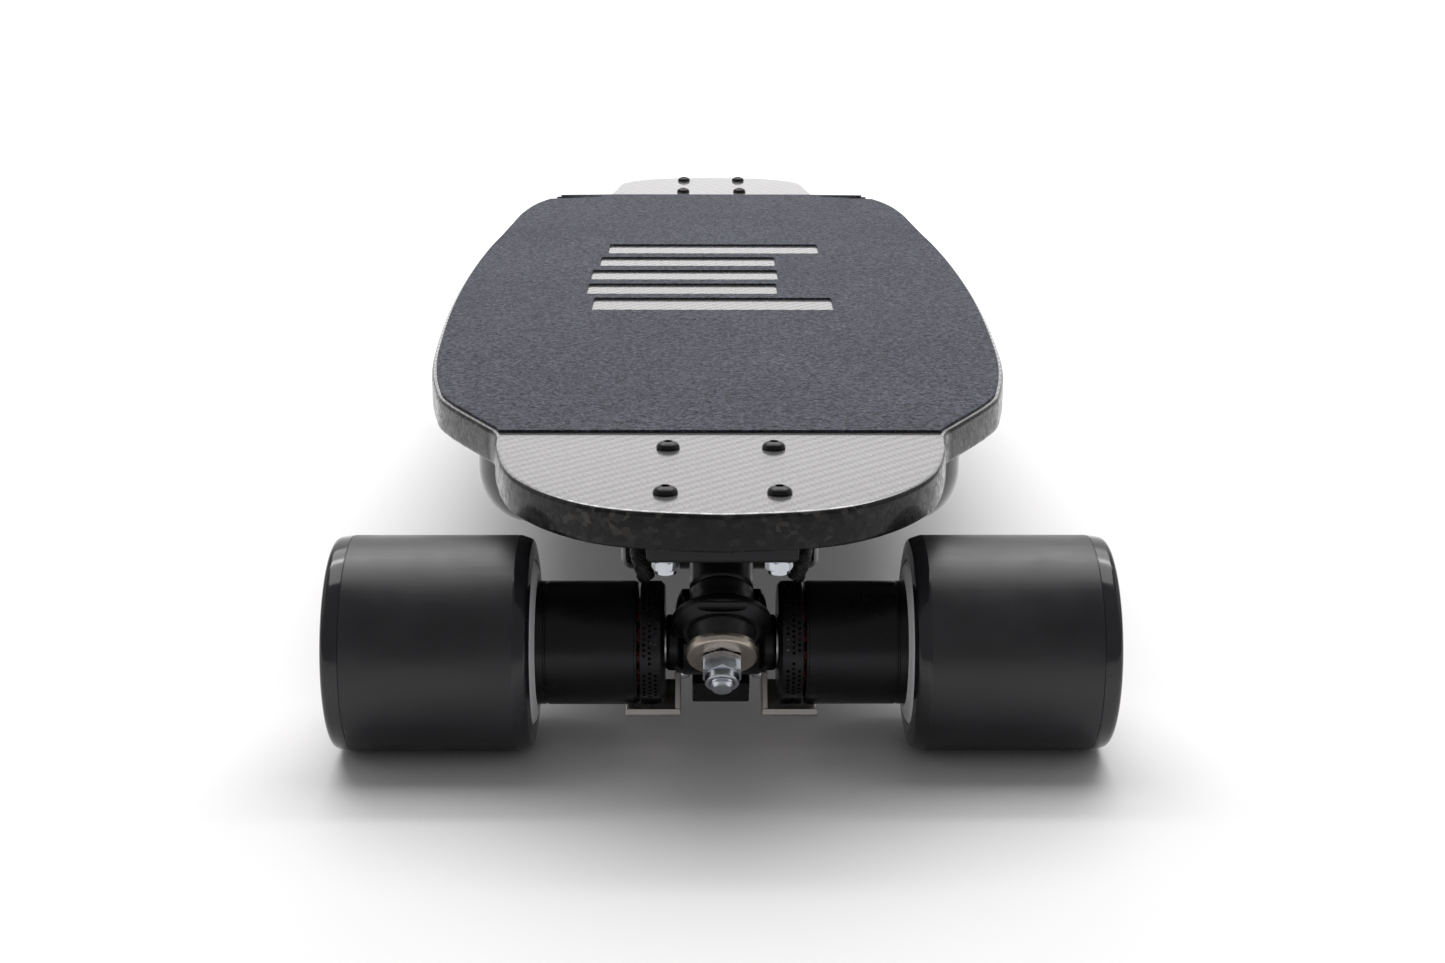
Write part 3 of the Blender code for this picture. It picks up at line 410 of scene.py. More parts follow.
# %% Chopped carbon on the rim
def chopped_carbon():
    material, graph, shader = new_finish(
        "chopped_carbon", (0.02, 0.02, 0.02), 0.3, 0.0, Coat_Weight=0.3, Coat_Roughness=0.08, Coat_IOR=1.35,
        Specular_IOR_Level=0.15)
    mapping = node(graph, "ShaderNodeMapping")
    mapping.inputs["Rotation"].default_value = (0.5, 0.6, 0.4)
    mapping.inputs["Scale"].default_value = (330, 620, 470)
    graph.links.new(own_coordinates(graph), mapping.inputs["Vector"])
    flecks = node(graph, "ShaderNodeTexVoronoi")
    flecks.inputs["Scale"].default_value = 1.0
    graph.links.new(mapping.outputs["Vector"], flecks.inputs["Vector"])
    tone = node(graph, "ShaderNodeSeparateColor")
    graph.links.new(flecks.outputs["Color"], tone.inputs[0])
    bright = calc(graph, "POWER", tone.outputs["Red"], 3.5)
    patch = between(graph, noise(graph, 26.0, 2.0), 0.4, 0.62, 0.15, 1.0)
    graph.links.new(color_between(graph, calc(graph, "MULTIPLY", bright, patch), (0.005, 0.005, 0.006),
                                  (0.055, 0.052, 0.046)), shader.inputs["Base Color"])
    graph.links.new(between(graph, tone.outputs["Green"], 0, 1, 0.2, 0.45), shader.inputs["Roughness"])
    bump(graph, shader, noise(graph, 60.0, 2.0), 0.0002, 0.12)
    return material


# %% [markdown]
# **Grip tape.** Grains of grit are glued on a sheet. Seen close, it is dark blue-grey with lighter grains and
# dark gaps. A cell pattern makes the grains and raises the surface, and a noise gathers them in clumps.

# %% Grip tape
def grip_grit():
    material, graph, shader = new_finish("grip_grit", (0.03, 0.032, 0.042), 0.85, Specular_IOR_Level=0.25)
    grains = node(graph, "ShaderNodeTexVoronoi")
    grains.inputs["Scale"].default_value = 1150
    graph.links.new(own_coordinates(graph), grains.inputs["Vector"])
    tone = node(graph, "ShaderNodeSeparateColor")
    graph.links.new(grains.outputs["Color"], tone.inputs[0])
    clumps = between(graph, noise(graph, 420.0, 4.0), 0.36, 0.64, 0.0, 1.0)
    light = calc(graph, "POWER", tone.outputs["Red"], 4.0)
    mixed = calc(graph, "ADD", calc(graph, "MULTIPLY", clumps, 0.5), calc(graph, "MULTIPLY", light, 0.6))
    wear = between(graph, noise(graph, 9.0, 4.0), 0.35, 0.7, 0.85, 1.15)
    graph.links.new(color_between(graph, calc(graph, "MULTIPLY", mixed, wear), (0.008, 0.009, 0.013),
                                  (0.098, 0.104, 0.138)), shader.inputs["Base Color"])
    graph.links.new(between(graph, tone.outputs["Green"], 0, 1, 0.55, 0.95), shader.inputs["Roughness"])
    height = calc(graph, "SUBTRACT", 1.0, grains.outputs["Distance"])
    bump(graph, shader, height, 0.00035, 0.8)
    return material


# %% [markdown]
# **Metals.** Anodised black is satin, with the lathe's fine rings just visible. Zinc plate is bright, cool
# and slightly mottled. The cup washer is satin nickel with a warm cast. The motor guards are brushed
# stainless.

# %% Metals
def machined(name, color, roughness, metallic, line_scale, line_depth, mottle=0.08, direction=(1, 0.02, 0.02),
             **sockets):
    material, graph, shader = new_finish(name, color, roughness, metallic, **sockets)
    cloud = noise(graph, 45.0, 4.0)
    graph.links.new(between(graph, cloud, 0.3, 0.7, max(roughness - mottle, 0.02), roughness + mottle),
                    shader.inputs["Roughness"])
    darker = tuple(0.75 * channel for channel in color)
    graph.links.new(color_between(graph, between(graph, cloud, 0.25, 0.7, 0, 1), darker, color),
                    shader.inputs["Base Color"])
    lines = noise(graph, line_scale, 2.0, stretch=direction)
    bump(graph, shader, lines, line_depth, 0.5)
    return material


# %% [markdown]
# **Urethane.** The wheel's tread is cast, then turned, so it is satin with faint streaks round it. The
# shoulders keep the mould's gloss. Handling leaves soft smudges, which only change the roughness.

# %% Urethane
def urethane(name, roughness, streak):
    material, graph, shader = new_finish(name, (0.012, 0.012, 0.014), roughness, IOR=1.5)
    smudge = noise(graph, 38.0, 5.0)
    streaks = noise(graph, 900.0, 2.0, stretch=(1, 0.03, 0.03))
    rough = calc(graph, "ADD", between(graph, smudge, 0.35, 0.68, roughness - 0.06, roughness + 0.09),
                 between(graph, streaks, 0.3, 0.7, -streak, streak))
    graph.links.new(rough, shader.inputs["Roughness"])
    graph.links.new(color_between(graph, between(graph, smudge, 0.3, 0.75, 0, 1), (0.009, 0.009, 0.011),
                                  (0.019, 0.019, 0.022)), shader.inputs["Base Color"])
    bump(graph, shader, streaks, 0.00003, 0.35)
    return material


def moulded(name, color, roughness, grain_scale, grain_depth, **sockets):
    material, graph, shader = new_finish(name, color, roughness, **sockets)
    grain = noise(graph, grain_scale, 4.0)
    cloud = noise(graph, 30.0, 3.0)
    lighter = tuple(min(1.0, 1.25 * channel + 0.004) for channel in color)
    graph.links.new(color_between(graph, cloud, color, lighter), shader.inputs["Base Color"])
    graph.links.new(between(graph, cloud, 0.3, 0.7, max(roughness - 0.05, 0.02), roughness + 0.06),
                    shader.inputs["Roughness"])
    bump(graph, shader, grain, grain_depth, 0.4)
    return material


# %% [markdown]
# **Braided sleeve and windings.** A braid is two sets of strands crossing on the slant. Enamelled wire is a
# pile of fine parallel turns. Both are bands worked out from position.

# %% Braid and windings
def banded(name, dark, light, roughness, metallic, scale, depth, twist):
    material, graph, shader = new_finish(name, dark, roughness, metallic)
    fields = []
    for lean in (twist, -twist):
        mapping = node(graph, "ShaderNodeMapping")
        mapping.inputs["Rotation"].default_value = (lean, lean, lean)
        graph.links.new(own_coordinates(graph), mapping.inputs["Vector"])
        wave = node(graph, "ShaderNodeTexWave")
        wave.inputs["Scale"].default_value = scale
        graph.links.new(mapping.outputs["Vector"], wave.inputs["Vector"])
        fields.append(wave.outputs["Fac"])
    both = calc(graph, "MULTIPLY", fields[0], fields[1])
    graph.links.new(color_between(graph, both, dark, light), shader.inputs["Base Color"])
    bump(graph, shader, both, depth, 0.7)
    return material


finish = {
    "twill": carbon_twill(),
    "chopped": chopped_carbon(),
    "grit": grip_grit(),
    "anodised": machined("black_anodised", (0.012, 0.012, 0.014), 0.3, 0.6, 1400, 0.00002, 0.06),
    "truck_black": machined("truck_black", (0.014, 0.014, 0.016), 0.36, 0.5, 700, 0.00002, 0.07, (1, 1, 1)),
    "zinc": machined("zinc_plate", (0.66, 0.69, 0.74), 0.2, 1.0, 500, 0.00003, 0.09, (1, 1, 1)),
    "nickel": machined("satin_nickel", (0.55, 0.49, 0.42), 0.3, 1.0, 1600, 0.00003, 0.08, (1, 1, 1)),
    "stainless": machined("brushed_stainless", (0.74, 0.7, 0.66), 0.3, 1.0, 1500, 0.00003, 0.07),
    "steel": machined("ground_steel", (0.5, 0.5, 0.52), 0.28, 1.0, 1200, 0.00002, 0.06),
    "black_oxide": machined("black_oxide", (0.02, 0.018, 0.018), 0.28, 0.7, 900, 0.00002, 0.08, (1, 1, 1)),
    "tread": urethane("urethane_tread", 0.36, 0.03),
    "shoulder": urethane("urethane_shoulder", 0.14, 0.0),
    "bushing": moulded("bushing_urethane", (0.012, 0.012, 0.012), 0.35, 300, 0.00005),
    "core": moulded("core_plastic", (0.72, 0.72, 0.73), 0.42, 500, 0.00004),
    "gloss_black": moulded("gloss_black", (0.008, 0.008, 0.009), 0.12, 120, 0.0001, Coat_Weight=0.6,
                           Coat_Roughness=0.05),
    "matt_black": moulded("matt_black", (0.012, 0.012, 0.013), 0.45, 700, 0.00008),
    "nylon": moulded("nylon_insert", (0.5, 0.55, 0.62), 0.35, 400, 0.00003),
    "wrap": moulded("cell_wrap", (0.05, 0.12, 0.35), 0.4, 90, 0.0002),
    "windings": banded("enamelled_windings", (0.10, 0.006, 0.004), (0.42, 0.04, 0.02), 0.3, 0.35, 260, 0.0004,
                       0.3),
    "braid": banded("braided_sleeve", (0.006, 0.006, 0.007), (0.035, 0.035, 0.038), 0.5, 0.0, 320, 0.0004,
                    0.8),
}
print(len(finish), "finishes made")

# %% [markdown]
# ## The deck
# The deck's outline is read from its own solid, then redrawn as a smooth curve through the same points. The
# edge is a small radius, as a hand-finished carbon moulding has, so a thin line of light runs along it.

# %% Read an outline from a flat solid
def outline_of(node, height):
    """A node's points at one height, in order round the board's middle, anticlockwise."""
    found = {(round(v.co.x, 5), round(v.co.y, 5)) for v in nodes[node].data.vertices
             if abs(v.co.z - height) < 0.00005}
    return sorted(found, key=lambda point: atan2(point[1], point[0]))


def smooth_loop(points, fine=4, sharp=radians(24)):
    """A smooth closed curve through the points, which still turns sharply at the corners."""
    count = len(points)
    spots = [Vector(p) for p in points]
    corner = []
    for i in range(count):
        before = spots[i] - spots[i - 1]
        after = spots[(i + 1) % count] - spots[i]
        corner.append(before.angle(after) > sharp)
    dense = []
    for i in range(count):
        j = (i + 1) % count
        a, b = spots[i], spots[j]
        leave = (b - a) / 3 if corner[i] else (b - spots[i - 1]).normalized() * (b - a).length / 3
        arrive = (b - a) / 3 if corner[j] else (spots[(j + 1) % count] - a).normalized() * (b - a).length / 3
        for step in range(fine):
            t = step / fine
            p, q = a + leave, b - arrive
            spot = (1 - t) ** 3 * a + 3 * (1 - t) ** 2 * t * p + 3 * (1 - t) * t * t * q + t ** 3 * b
            dense.append(tuple(spot))
    return dense


def inset(points, distance):
    moved = []
    count = len(points)
    for i, point in enumerate(points):
        before = (Vector(point) - Vector(points[i - 1])).normalized()
        after = (Vector(points[(i + 1) % count]) - Vector(point)).normalized()
        inward = Vector((-before.y - after.y, before.x + after.x)).normalized()
        moved.append(tuple(Vector(point) + inward * distance))
    return moved


rim_height = max(v.co.z for v in nodes["deck"].data.vertices if v.co.z < deck_top - 0.0005)
deck_loop = outline_of("deck", rim_height)
deck_curve = smooth_loop(deck_loop)
print(f"deck outline: {len(deck_loop)} points, {len(deck_curve)} after smoothing")

# %% Build the deck from stacked outlines
def stacked_mesh(name, rings, zones=None):
    """Outlines at rising heights, joined into one closed skin. rings is a list of (points, z)."""
    mesh = bpy.data.meshes.new(name)
    shape = bmesh.new()
    loops = [[shape.verts.new((x, y, z)) for x, y in points] for points, z in rings]
    count = len(loops[0])
    for number, (low, high) in enumerate(zip(loops, loops[1:])):
        for i in range(count):
            j = (i + 1) % count
            face = shape.faces.new((low[i], low[j], high[j], high[i]))
            face.material_index = zones[number] if zones else 0
    shape.faces.new(list(reversed(loops[0])))
    shape.faces.new(loops[-1])
    bmesh.ops.recalc_face_normals(shape, faces=shape.faces)
    shape.to_mesh(mesh)
    shape.free()
    return mesh


EDGE = 2.0 * MM
rings = []
for step in range(6):
    turn = pi / 2 * step / 5
    rings.append((inset(deck_curve, EDGE * (1 - sin(turn))), deck_under + EDGE * (1 - cos(turn))))
for step in range(6):
    turn = pi / 2 * step / 5
    rings.append((inset(deck_curve, EDGE * (1 - cos(turn))), deck_top - EDGE * (1 - sin(turn))))
deck_mesh = stacked_mesh("deck_shell", rings, [1] * 9 + [0, 0])
deck = finish_piece("deck_shell", deck_mesh, Matrix(), [finish["twill"], finish["chopped"]], "deck_body",
                    angle=None)
for face in deck_mesh.polygons:
    face.use_smooth = abs(face.normal.z) < 0.99
    if face.normal.z < -0.99:
        face.material_index = 0
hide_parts("deck")
print(f"deck shell: {len(deck_mesh.polygons)} faces")

# %% [markdown]
# The grip tape is a sheet with a straight cut at each end. Where it stops, a thin line of black adhesive
# shows, and five bars are cut out of it so that the bare carbon shows through. The cut-outs are real holes,
# so each has the sheet's thickness as its edge.

# %% Cut the grip tape
grip_low, grip_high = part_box("grip_tape")
grip_loop = outline_of("grip_tape", grip_high.z)
print(f"grip outline: {len(grip_loop)} points")


def grip_run(points, rear, front):
    """Densely follows the smooth edge between the straight cuts."""
    kept = [(x, y) for x, y in inset(deck_curve, points) if rear < y < front]
    right = sorted([p for p in kept if p[0] > 0], key=lambda p: p[1])
    edge_rear = max(x for x, y in grip_loop if abs(y - grip_low.y) < 0.0002)
    edge_front = max(x for x, y in grip_loop if abs(y - grip_high.y) < 0.0002)
    shrink = points - 2 * MM
    half = [(edge_rear - shrink, rear)] + right + [(edge_front - shrink, front)]
    return half + [(-x, y) for x, y in reversed(half)]


BARS = [  # (left end, right end, middle along the board, length along the board)
    (-65 * MM, 62 * MM, -72 * MM, 34 * MM),
    (-70 * MM, 34 * MM, -28 * MM, 31 * MM),
    (-70 * MM, 36 * MM, 16 * MM, 31 * MM),
    (-67 * MM, 36 * MM, 61 * MM, 31 * MM),
    (-64 * MM, 64 * MM, 107 * MM, 34 * MM),
]
sheet_outline = grip_run(2.2 * MM, grip_low.y + 0.6 * MM, grip_high.y)
sheet = plate_mesh("grip_sheet", sheet_outline, grip_high.z - grip_low.z)
windows = []
for left, right, along, length in BARS:
    tool = rounded_box_mesh("window", (right - left, length, 8 * MM), 2.0 * MM, 3)
    windows.append(("DIFFERENCE", tool, Matrix.Translation(((left + right) / 2, along, 0))))
sheet_mesh = combined("grip_sheet", sheet, windows)
grip = finish_piece("grip_sheet", sheet_mesh, Matrix.Translation((0, 0, grip_low.z)), finish["grit"],
                    "deck_body",
                    angle=30)
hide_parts("grip_tape")
liner = plate_mesh("grip_liner", grip_run(1.9 * MM, grip_low.y, grip_high.y + 0.3 * MM), 0.25 * MM)
liner_cut = combined("grip_liner", liner, [
    (kind, tool.copy(), place) for kind, tool, place in windows])
finish_piece("grip_liner", liner_cut, Matrix.Translation((0, 0, deck_top + 0.02 * MM)), finish["gloss_black"],
             "deck_body", angle=30)
print(f"grip sheet {span('grip_tape', 1) / MM:.0f} mm long, {len(BARS)} windows")

# %% [markdown]
# ## The bolts through the deck
# Button-head screws with hex sockets, black, and under each truck plate a zinc lock nut with a collar, and a
# washer. The head is a turned dome, and the socket is a real hexagonal hole.

# %% Button-head screws and their nuts
def hexagon(across_flats):
    corner = across_flats / 2 / cos(pi / 6)
    return [(corner * cos(pi / 6 + i * pi / 3), corner * sin(pi / 6 + i * pi / 3)) for i in range(6)]


def button_head_mesh(diameter, height, key):
    r = diameter / 2
    dome = [(r * sin(pi / 2 * i / 8) * 0.98, height * (0.22 + 0.78 * cos(pi / 2 * i / 8))) for i in range(9)]
    profile = dome + [(r, height * 0.18), (r, 0.1 * MM), (r * 0.97, 0), (0, 0)]
    head = lathe_mesh("button_head", profile, 48, closed=False)
    well = plate_mesh("hex_well", hexagon(key), 8 * MM)
    return combined("button_head", head, [("DIFFERENCE", well, Matrix.Translation((0, 0, 0.3 * height)))])


def nut_mesh(across, height, bore, collar):
    """A lock nut: a chamfered hexagon below, and a rolled collar above."""
    prism = plate_mesh("hexagon", hexagon(across), height * 0.66)
    corner = across / 2 / cos(pi / 6)
    flat = across / 2
    chamfer = lathe_mesh("chamfer", [(0, 0), (flat * 0.97, 0), (corner, (corner - flat) * 0.6),
                                     (corner, height * 0.6), (flat * 0.98, height * 0.66),
                                     (0, height * 0.66)], 64,
                         closed=False)
    ring = lathe_mesh("collar", filleted([(0, height * 0.6, 0), (collar, height * 0.6, 0),
                                          (collar, height, 0.9 * MM), (collar * 0.72, height, 0.3 * MM),
                                          (collar * 0.72, height * 0.9, 0),
                                          (0, height * 0.9, 0)]), 64, closed=False)
    hole = lathe_mesh("hole", [(0, -1 * MM), (bore, -1 * MM), (bore, 30 * MM), (0, 30 * MM)], 40,
                      closed=False)
    return combined("lock_nut", prism, [("INTERSECT", chamfer, Matrix()), ("UNION", ring, Matrix()),
                                        ("DIFFERENCE", hole, Matrix())])


def threaded_mesh(name, radius, length, pitch, tip=0.7 * MM, steps=32):
    """A rod whose rim is ridged like a thread, from z = 0 up, with a rounded tip."""
    ridges = int(length / pitch)
    profile = [(0, 0), (radius * 0.9, 0)]
    for i in range(ridges):
        profile += [(radius, pitch * (i + 0.35)), (radius * 0.93, pitch * (i + 0.85))]
    end = pitch * ridges
    profile += [(radius * 0.9, end), (radius - tip, end + tip * 0.8), (0, end + tip)]
    return lathe_mesh(name, profile, steps, closed=False)


head_mesh = button_head_mesh(9.2 * MM, 3.0 * MM, 3.2 * MM)
deck_nut = nut_mesh(9.2 * MM, 5.4 * MM, 2.4 * MM, 4.0 * MM)
deck_washer = lathe_mesh("deck_washer", filleted([
    (2.7 * MM, 0, 0.1 * MM), (5.4 * MM, 0, 0.1 * MM), (5.4 * MM, 0.6 * MM, 0.2 * MM),
    (2.7 * MM, 0.6 * MM, 0.1 * MM)], 2), 48)
DOWN = Matrix.Rotation(pi, 4, "X")
PLATE_THICK = 9.5 * MM
HEAD_HEIGHT = 3.0 * MM
WASHER_THICK = 0.6 * MM
for end in ("tail", "nose"):
    for row in ("inner", "outer"):
        for side in ("left", "right"):
            bolt = f"{end}_bolt_{row}_{side}"
            spot = middle(bolt)
            low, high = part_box(bolt)
            turn = Matrix.Rotation(0.4 + 1.7 * len(row) + spot.x * 90, 4, "Z")
            head = finish_piece(f"{bolt}_head", head_mesh.copy(),
                                Matrix.Translation((spot.x, spot.y, high.z - HEAD_HEIGHT)) @ turn,
                                finish["black_oxide"],
                                "deck_body")
            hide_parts(bolt)
            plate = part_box(f"{end}_baseplate")[1].z - PLATE_THICK
            finish_piece(f"{bolt}_washer", deck_washer.copy(),
                         Matrix.Translation((spot.x, spot.y, plate)) @ DOWN,
                         finish["zinc"], "deck_body")
            finish_piece(f"{bolt}_nut", deck_nut.copy(),
                         Matrix.Translation((spot.x, spot.y, plate - WASHER_THICK)) @ DOWN @ turn,
                         finish["zinc"],
                         "deck_body")
            finish_piece(f"{bolt}_tip", threaded_mesh("bolt_tip", 2.35 * MM, 5.2 * MM, 0.8 * MM),
                         Matrix.Translation((spot.x, spot.y, plate - WASHER_THICK)) @ DOWN,
                         finish["black_oxide"],
                         "deck_body")
print("8 bolts, washers and nuts")

# %% [markdown]
# ## The wheels
# A wheel is urethane cast round a light core. The tread is flat, the inner shoulder is a soft radius, and a
# fine parting line runs round the outer shoulder, where the two halves of the mould met.

# %% Tyre and core
TYRE_STEPS = 160


def tyre_mesh():
    width = wheel_outer - wheel_inner
    r = wheel_radius
    bore = r - 9.5 * MM
    profile = filleted([
        (bore, 1.9 * MM, 0.2 * MM),
        (bore + 2.6 * MM, 1.5 * MM, 0.5 * MM),
        (r - 1.6 * MM, 2.4 * MM, 2.2 * MM),
        (r, 7.0 * MM, 4.0 * MM),
        (r, width - 7.6 * MM, 0.25 * MM),
        (r - 0.35 * MM, width - 7.35 * MM, 0.1 * MM),
        (r - 0.1 * MM, width - 7.1 * MM, 0.3 * MM),
        (r - 1.0 * MM, width - 0.2 * MM, 4.2 * MM),
        (bore + 2.4 * MM, width - 0.4 * MM, 0.8 * MM),
        (bore, width - 1.2 * MM, 0.3 * MM),
    ], 6)
    first = next(i for i, (radius, height) in enumerate(profile) if radius > r - 0.02 * MM)
    last = max(i for i, (radius, height) in enumerate(profile) if radius > r - 0.02 * MM)
    return lathe_mesh("tyre", profile, TYRE_STEPS, zones=lambda i: 0 if first <= i < last else 1)


def core_mesh():
    r = wheel_radius - 9.8 * MM
    width = wheel_outer - wheel_inner
    tube = motor_radius + 0.3 * MM
    seat = 11.2 * MM
    inner = [
        (tube, 14.3 * MM, 0), (tube, 0.5 * MM, 0.3 * MM), (tube + 1.2 * MM, 0.2 * MM, 0.2 * MM),
        (tube + 1.4 * MM, 0.9 * MM, 0.1 * MM), (tube + 2.0 * MM, 0.9 * MM, 0.1 * MM),
        (tube + 2.2 * MM, 0.3 * MM, 0.2 * MM), (r - 1.6 * MM, 1.4 * MM, 0.5 * MM), (r, 2.4 * MM, 0.3 * MM),
    ]
    outer = [
        (r, width - 2.2 * MM, 0.2 * MM), (r - 3.1 * MM, width - 2.0 * MM, 0.8 * MM),
        (r - 5.4 * MM, width - 19 * MM, 2.5 * MM), (seat + 3.4 * MM, width - 15.5 * MM, 1.6 * MM),
        (seat + 2.6 * MM, width - 13.6 * MM, 0.4 * MM), (seat, width - 13.6 * MM, 0.3 * MM),
        (seat, width - 20.9 * MM, 0), (8.6 * MM, width - 20.9 * MM, 0), (8.6 * MM, 21.8 * MM, 0),
        (seat, 21.8 * MM, 0), (seat, 14.3 * MM, 0),
    ]
    return lathe_mesh("core", filleted(inner + outer, 4), 120)


def bearing_mesh():
    """Rings, a shield and a groove each side, as a sealed ball bearing shows them."""
    half = [(4.2, 0.0, 0.2), (5.9, 0.0, 0.2), (6.1, 0.5, 0.1), (9.3, 0.4, 0.1), (9.5, 0.0, 0.2),
            (10.9, 0.0, 0.3)]
    low = [(r * MM, h * MM, f * MM) for r, h, f in half]
    high = [(r * MM, (6.7 - h) * MM, f * MM) for r, h, f in reversed(half)]
    return lathe_mesh("bearing", filleted(low + high, 3), 72)


tyre = tyre_mesh()
bearing = bearing_mesh()
for end in ("tail", "nose"):
    for side in ("left", "right"):
        name = f"{end}_{side}"
        way = 1 if middle(f"{name}_tyre").x > 0 else -1
        hub = axle[end] + Vector((way * wheel_inner, 0, 0))
        place = toward(hub, (way, 0, 0))
        body = f"{name}_wheel_body"
        rubber = finish_piece(f"{name}_tyre_cast", tyre.copy(), place, [finish["tread"], finish["shoulder"]],
                              body,
                              angle=30)
        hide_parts(f"{name}_tyre")
        core = finish_piece(f"{name}_core_moulded", core_mesh(), place, finish["core"], body,
                            angle=30)
        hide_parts(f"{name}_core")
        for spot in ("inner", "outer"):
            node_low, node_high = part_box(f"{name}_{spot}_bearing")
            near = min(abs(node_low.x), abs(node_high.x))
            ring = finish_piece(f"{name}_{spot}_bearing_sealed", bearing.copy(),
                                toward(axle[end] + Vector((way * (near + 0.15 * MM), 0, 0)), (way, 0, 0)),
                                finish["steel"], body, angle=30)
            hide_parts(f"{name}_{spot}_bearing")
print(f"4 wheels, {2 * wheel_radius / MM:.0f} x {(wheel_outer - wheel_inner) / MM:.1f} mm")

# %% [markdown]
# ## The trucks
# The trucks are built in a frame of their own, with +Y running off the board's end, then turned into place.
# One baseplate serves both ends. It is forged: a flat plate, a round boss for the kingpin, and an arm down to
# the pivot's socket.

# %% Truck frames and the baseplate
plate_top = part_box("tail_baseplate")[1].z
BOLT_HALF_ACROSS = 20.64 * MM
BOLT_HALF_ALONG = 31.75 * MM
SEAT_BELOW_RING = 18.6 * MM
truck_place = {}
for end in ("tail", "nose"):
    along = (middle(f"{end}_bolt_inner_left").y + middle(f"{end}_bolt_outer_left").y) / 2
    truck_place[end] = (Matrix.Translation((0, along, 0))
                        @ Matrix.Rotation(pi if end == "tail" else 0.0, 4, "Z"))
away = truck_place["nose"].inverted() @ axle["nose"]
lean = (truck_place["nose"].inverted().to_3x3() @ steer_axis["nose"]).normalized()
pin = (truck_place["nose"].inverted().to_3x3() @ kingpin_axis["nose"]).normalized()
ring_up = (ring_center["nose"] - axle["nose"]).length
ring_spot = away + lean * ring_up
seat_spot = ring_spot - pin * SEAT_BELOW_RING
print(f"ring {ring_up / MM:.1f} mm above the axle, seat at {seat_spot[:]}")


def yz_plate(name, outline, width):
    """A (y, z) outline given its width across X, centred."""
    mesh = plate_mesh(name, outline, width)
    mesh.transform(Matrix(((0, 0, 1, -width / 2), (1, 0, 0, 0), (0, 1, 0, 0), (0, 0, 0, 1))))
    return mesh


def rod_mesh(name, radius, low, high, chamfer=0.0, steps=64):
    profile = [(0, low), (radius - chamfer, low), (radius, low + chamfer), (radius, high - chamfer),
               (radius - chamfer, high), (0, high)]
    return lathe_mesh(name, profile if chamfer else [profile[0], profile[2], profile[3], profile[5]], steps,
                      closed=False)


def baseplate_mesh():
    under = plate_top - PLATE_THICK
    mouth = away - lean * 14.5 * MM
    toe = away - lean * 29 * MM
    wall = 10.8 * MM
    boss = 12.2 * MM
    web = [
        (-39 * MM, under + 2 * MM),
        (-40.2 * MM, seat_spot.z - boss * lean.z - 4 * MM),
        tuple((toe - pin * wall * 0.55).yz),
        tuple((toe + pin * wall).yz),
        tuple((mouth + pin * wall).yz),
        tuple((mouth - pin * wall).yz),
        tuple((seat_spot - lean * (boss + 8 * MM)).yz),
        tuple((seat_spot - lean * boss).yz),
        tuple((seat_spot + lean * (under + 2 * MM - seat_spot.z) / lean.z).yz),
    ]
    solids = [
        (rounded_box_mesh("plate", (55.2 * MM, 79.6 * MM, 9.3 * MM), 1.6 * MM),
         Matrix.Translation((0, 0, plate_top - 4.75 * MM))),
        (rod_mesh("boss", boss, -18 * MM, 10.0 * MM, 1.2 * MM), toward(seat_spot, pin)),
        (yz_plate("arm", web, 22.4 * MM), Matrix()),
    ]
    skin = melted("baseplate", solids, 0.8 * MM, 5)
    cuts = []
    for x in (-1, 1):
        for y in (-1, 1):
            spot = Matrix.Translation((x * BOLT_HALF_ACROSS, y * BOLT_HALF_ALONG, 0))
            cuts.append(("DIFFERENCE", rod_mesh("hole", 2.8 * MM, under - 5 * MM, plate_top + 2 * MM), spot))
    cuts.append(("DIFFERENCE", rod_mesh("bore", 5.05 * MM, -14 * MM, 14 * MM), toward(seat_spot, pin)))
    cuts.append(("DIFFERENCE", rod_mesh("socket", 8.4 * MM, -1 * MM, 12.4 * MM), toward(mouth, -lean)))
    return combined("baseplate", skin, cuts)


base_mesh = baseplate_mesh()
for end in ("tail", "nose"):
    plate = finish_piece(f"{end}_baseplate_forged", base_mesh.copy(), truck_place[end], finish["truck_black"],
                         "deck_body", angle=40)
    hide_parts(f"{end}_baseplate")
print(f"baseplate: {len(base_mesh.polygons)} faces")

# %% [markdown]
# The hanger turns with the axle. Its ring holds the two bushings, and its face toward the nut has a wide
# chamfer with a milled slot across it. Arms run out to the sides, and the pivot runs inboard.

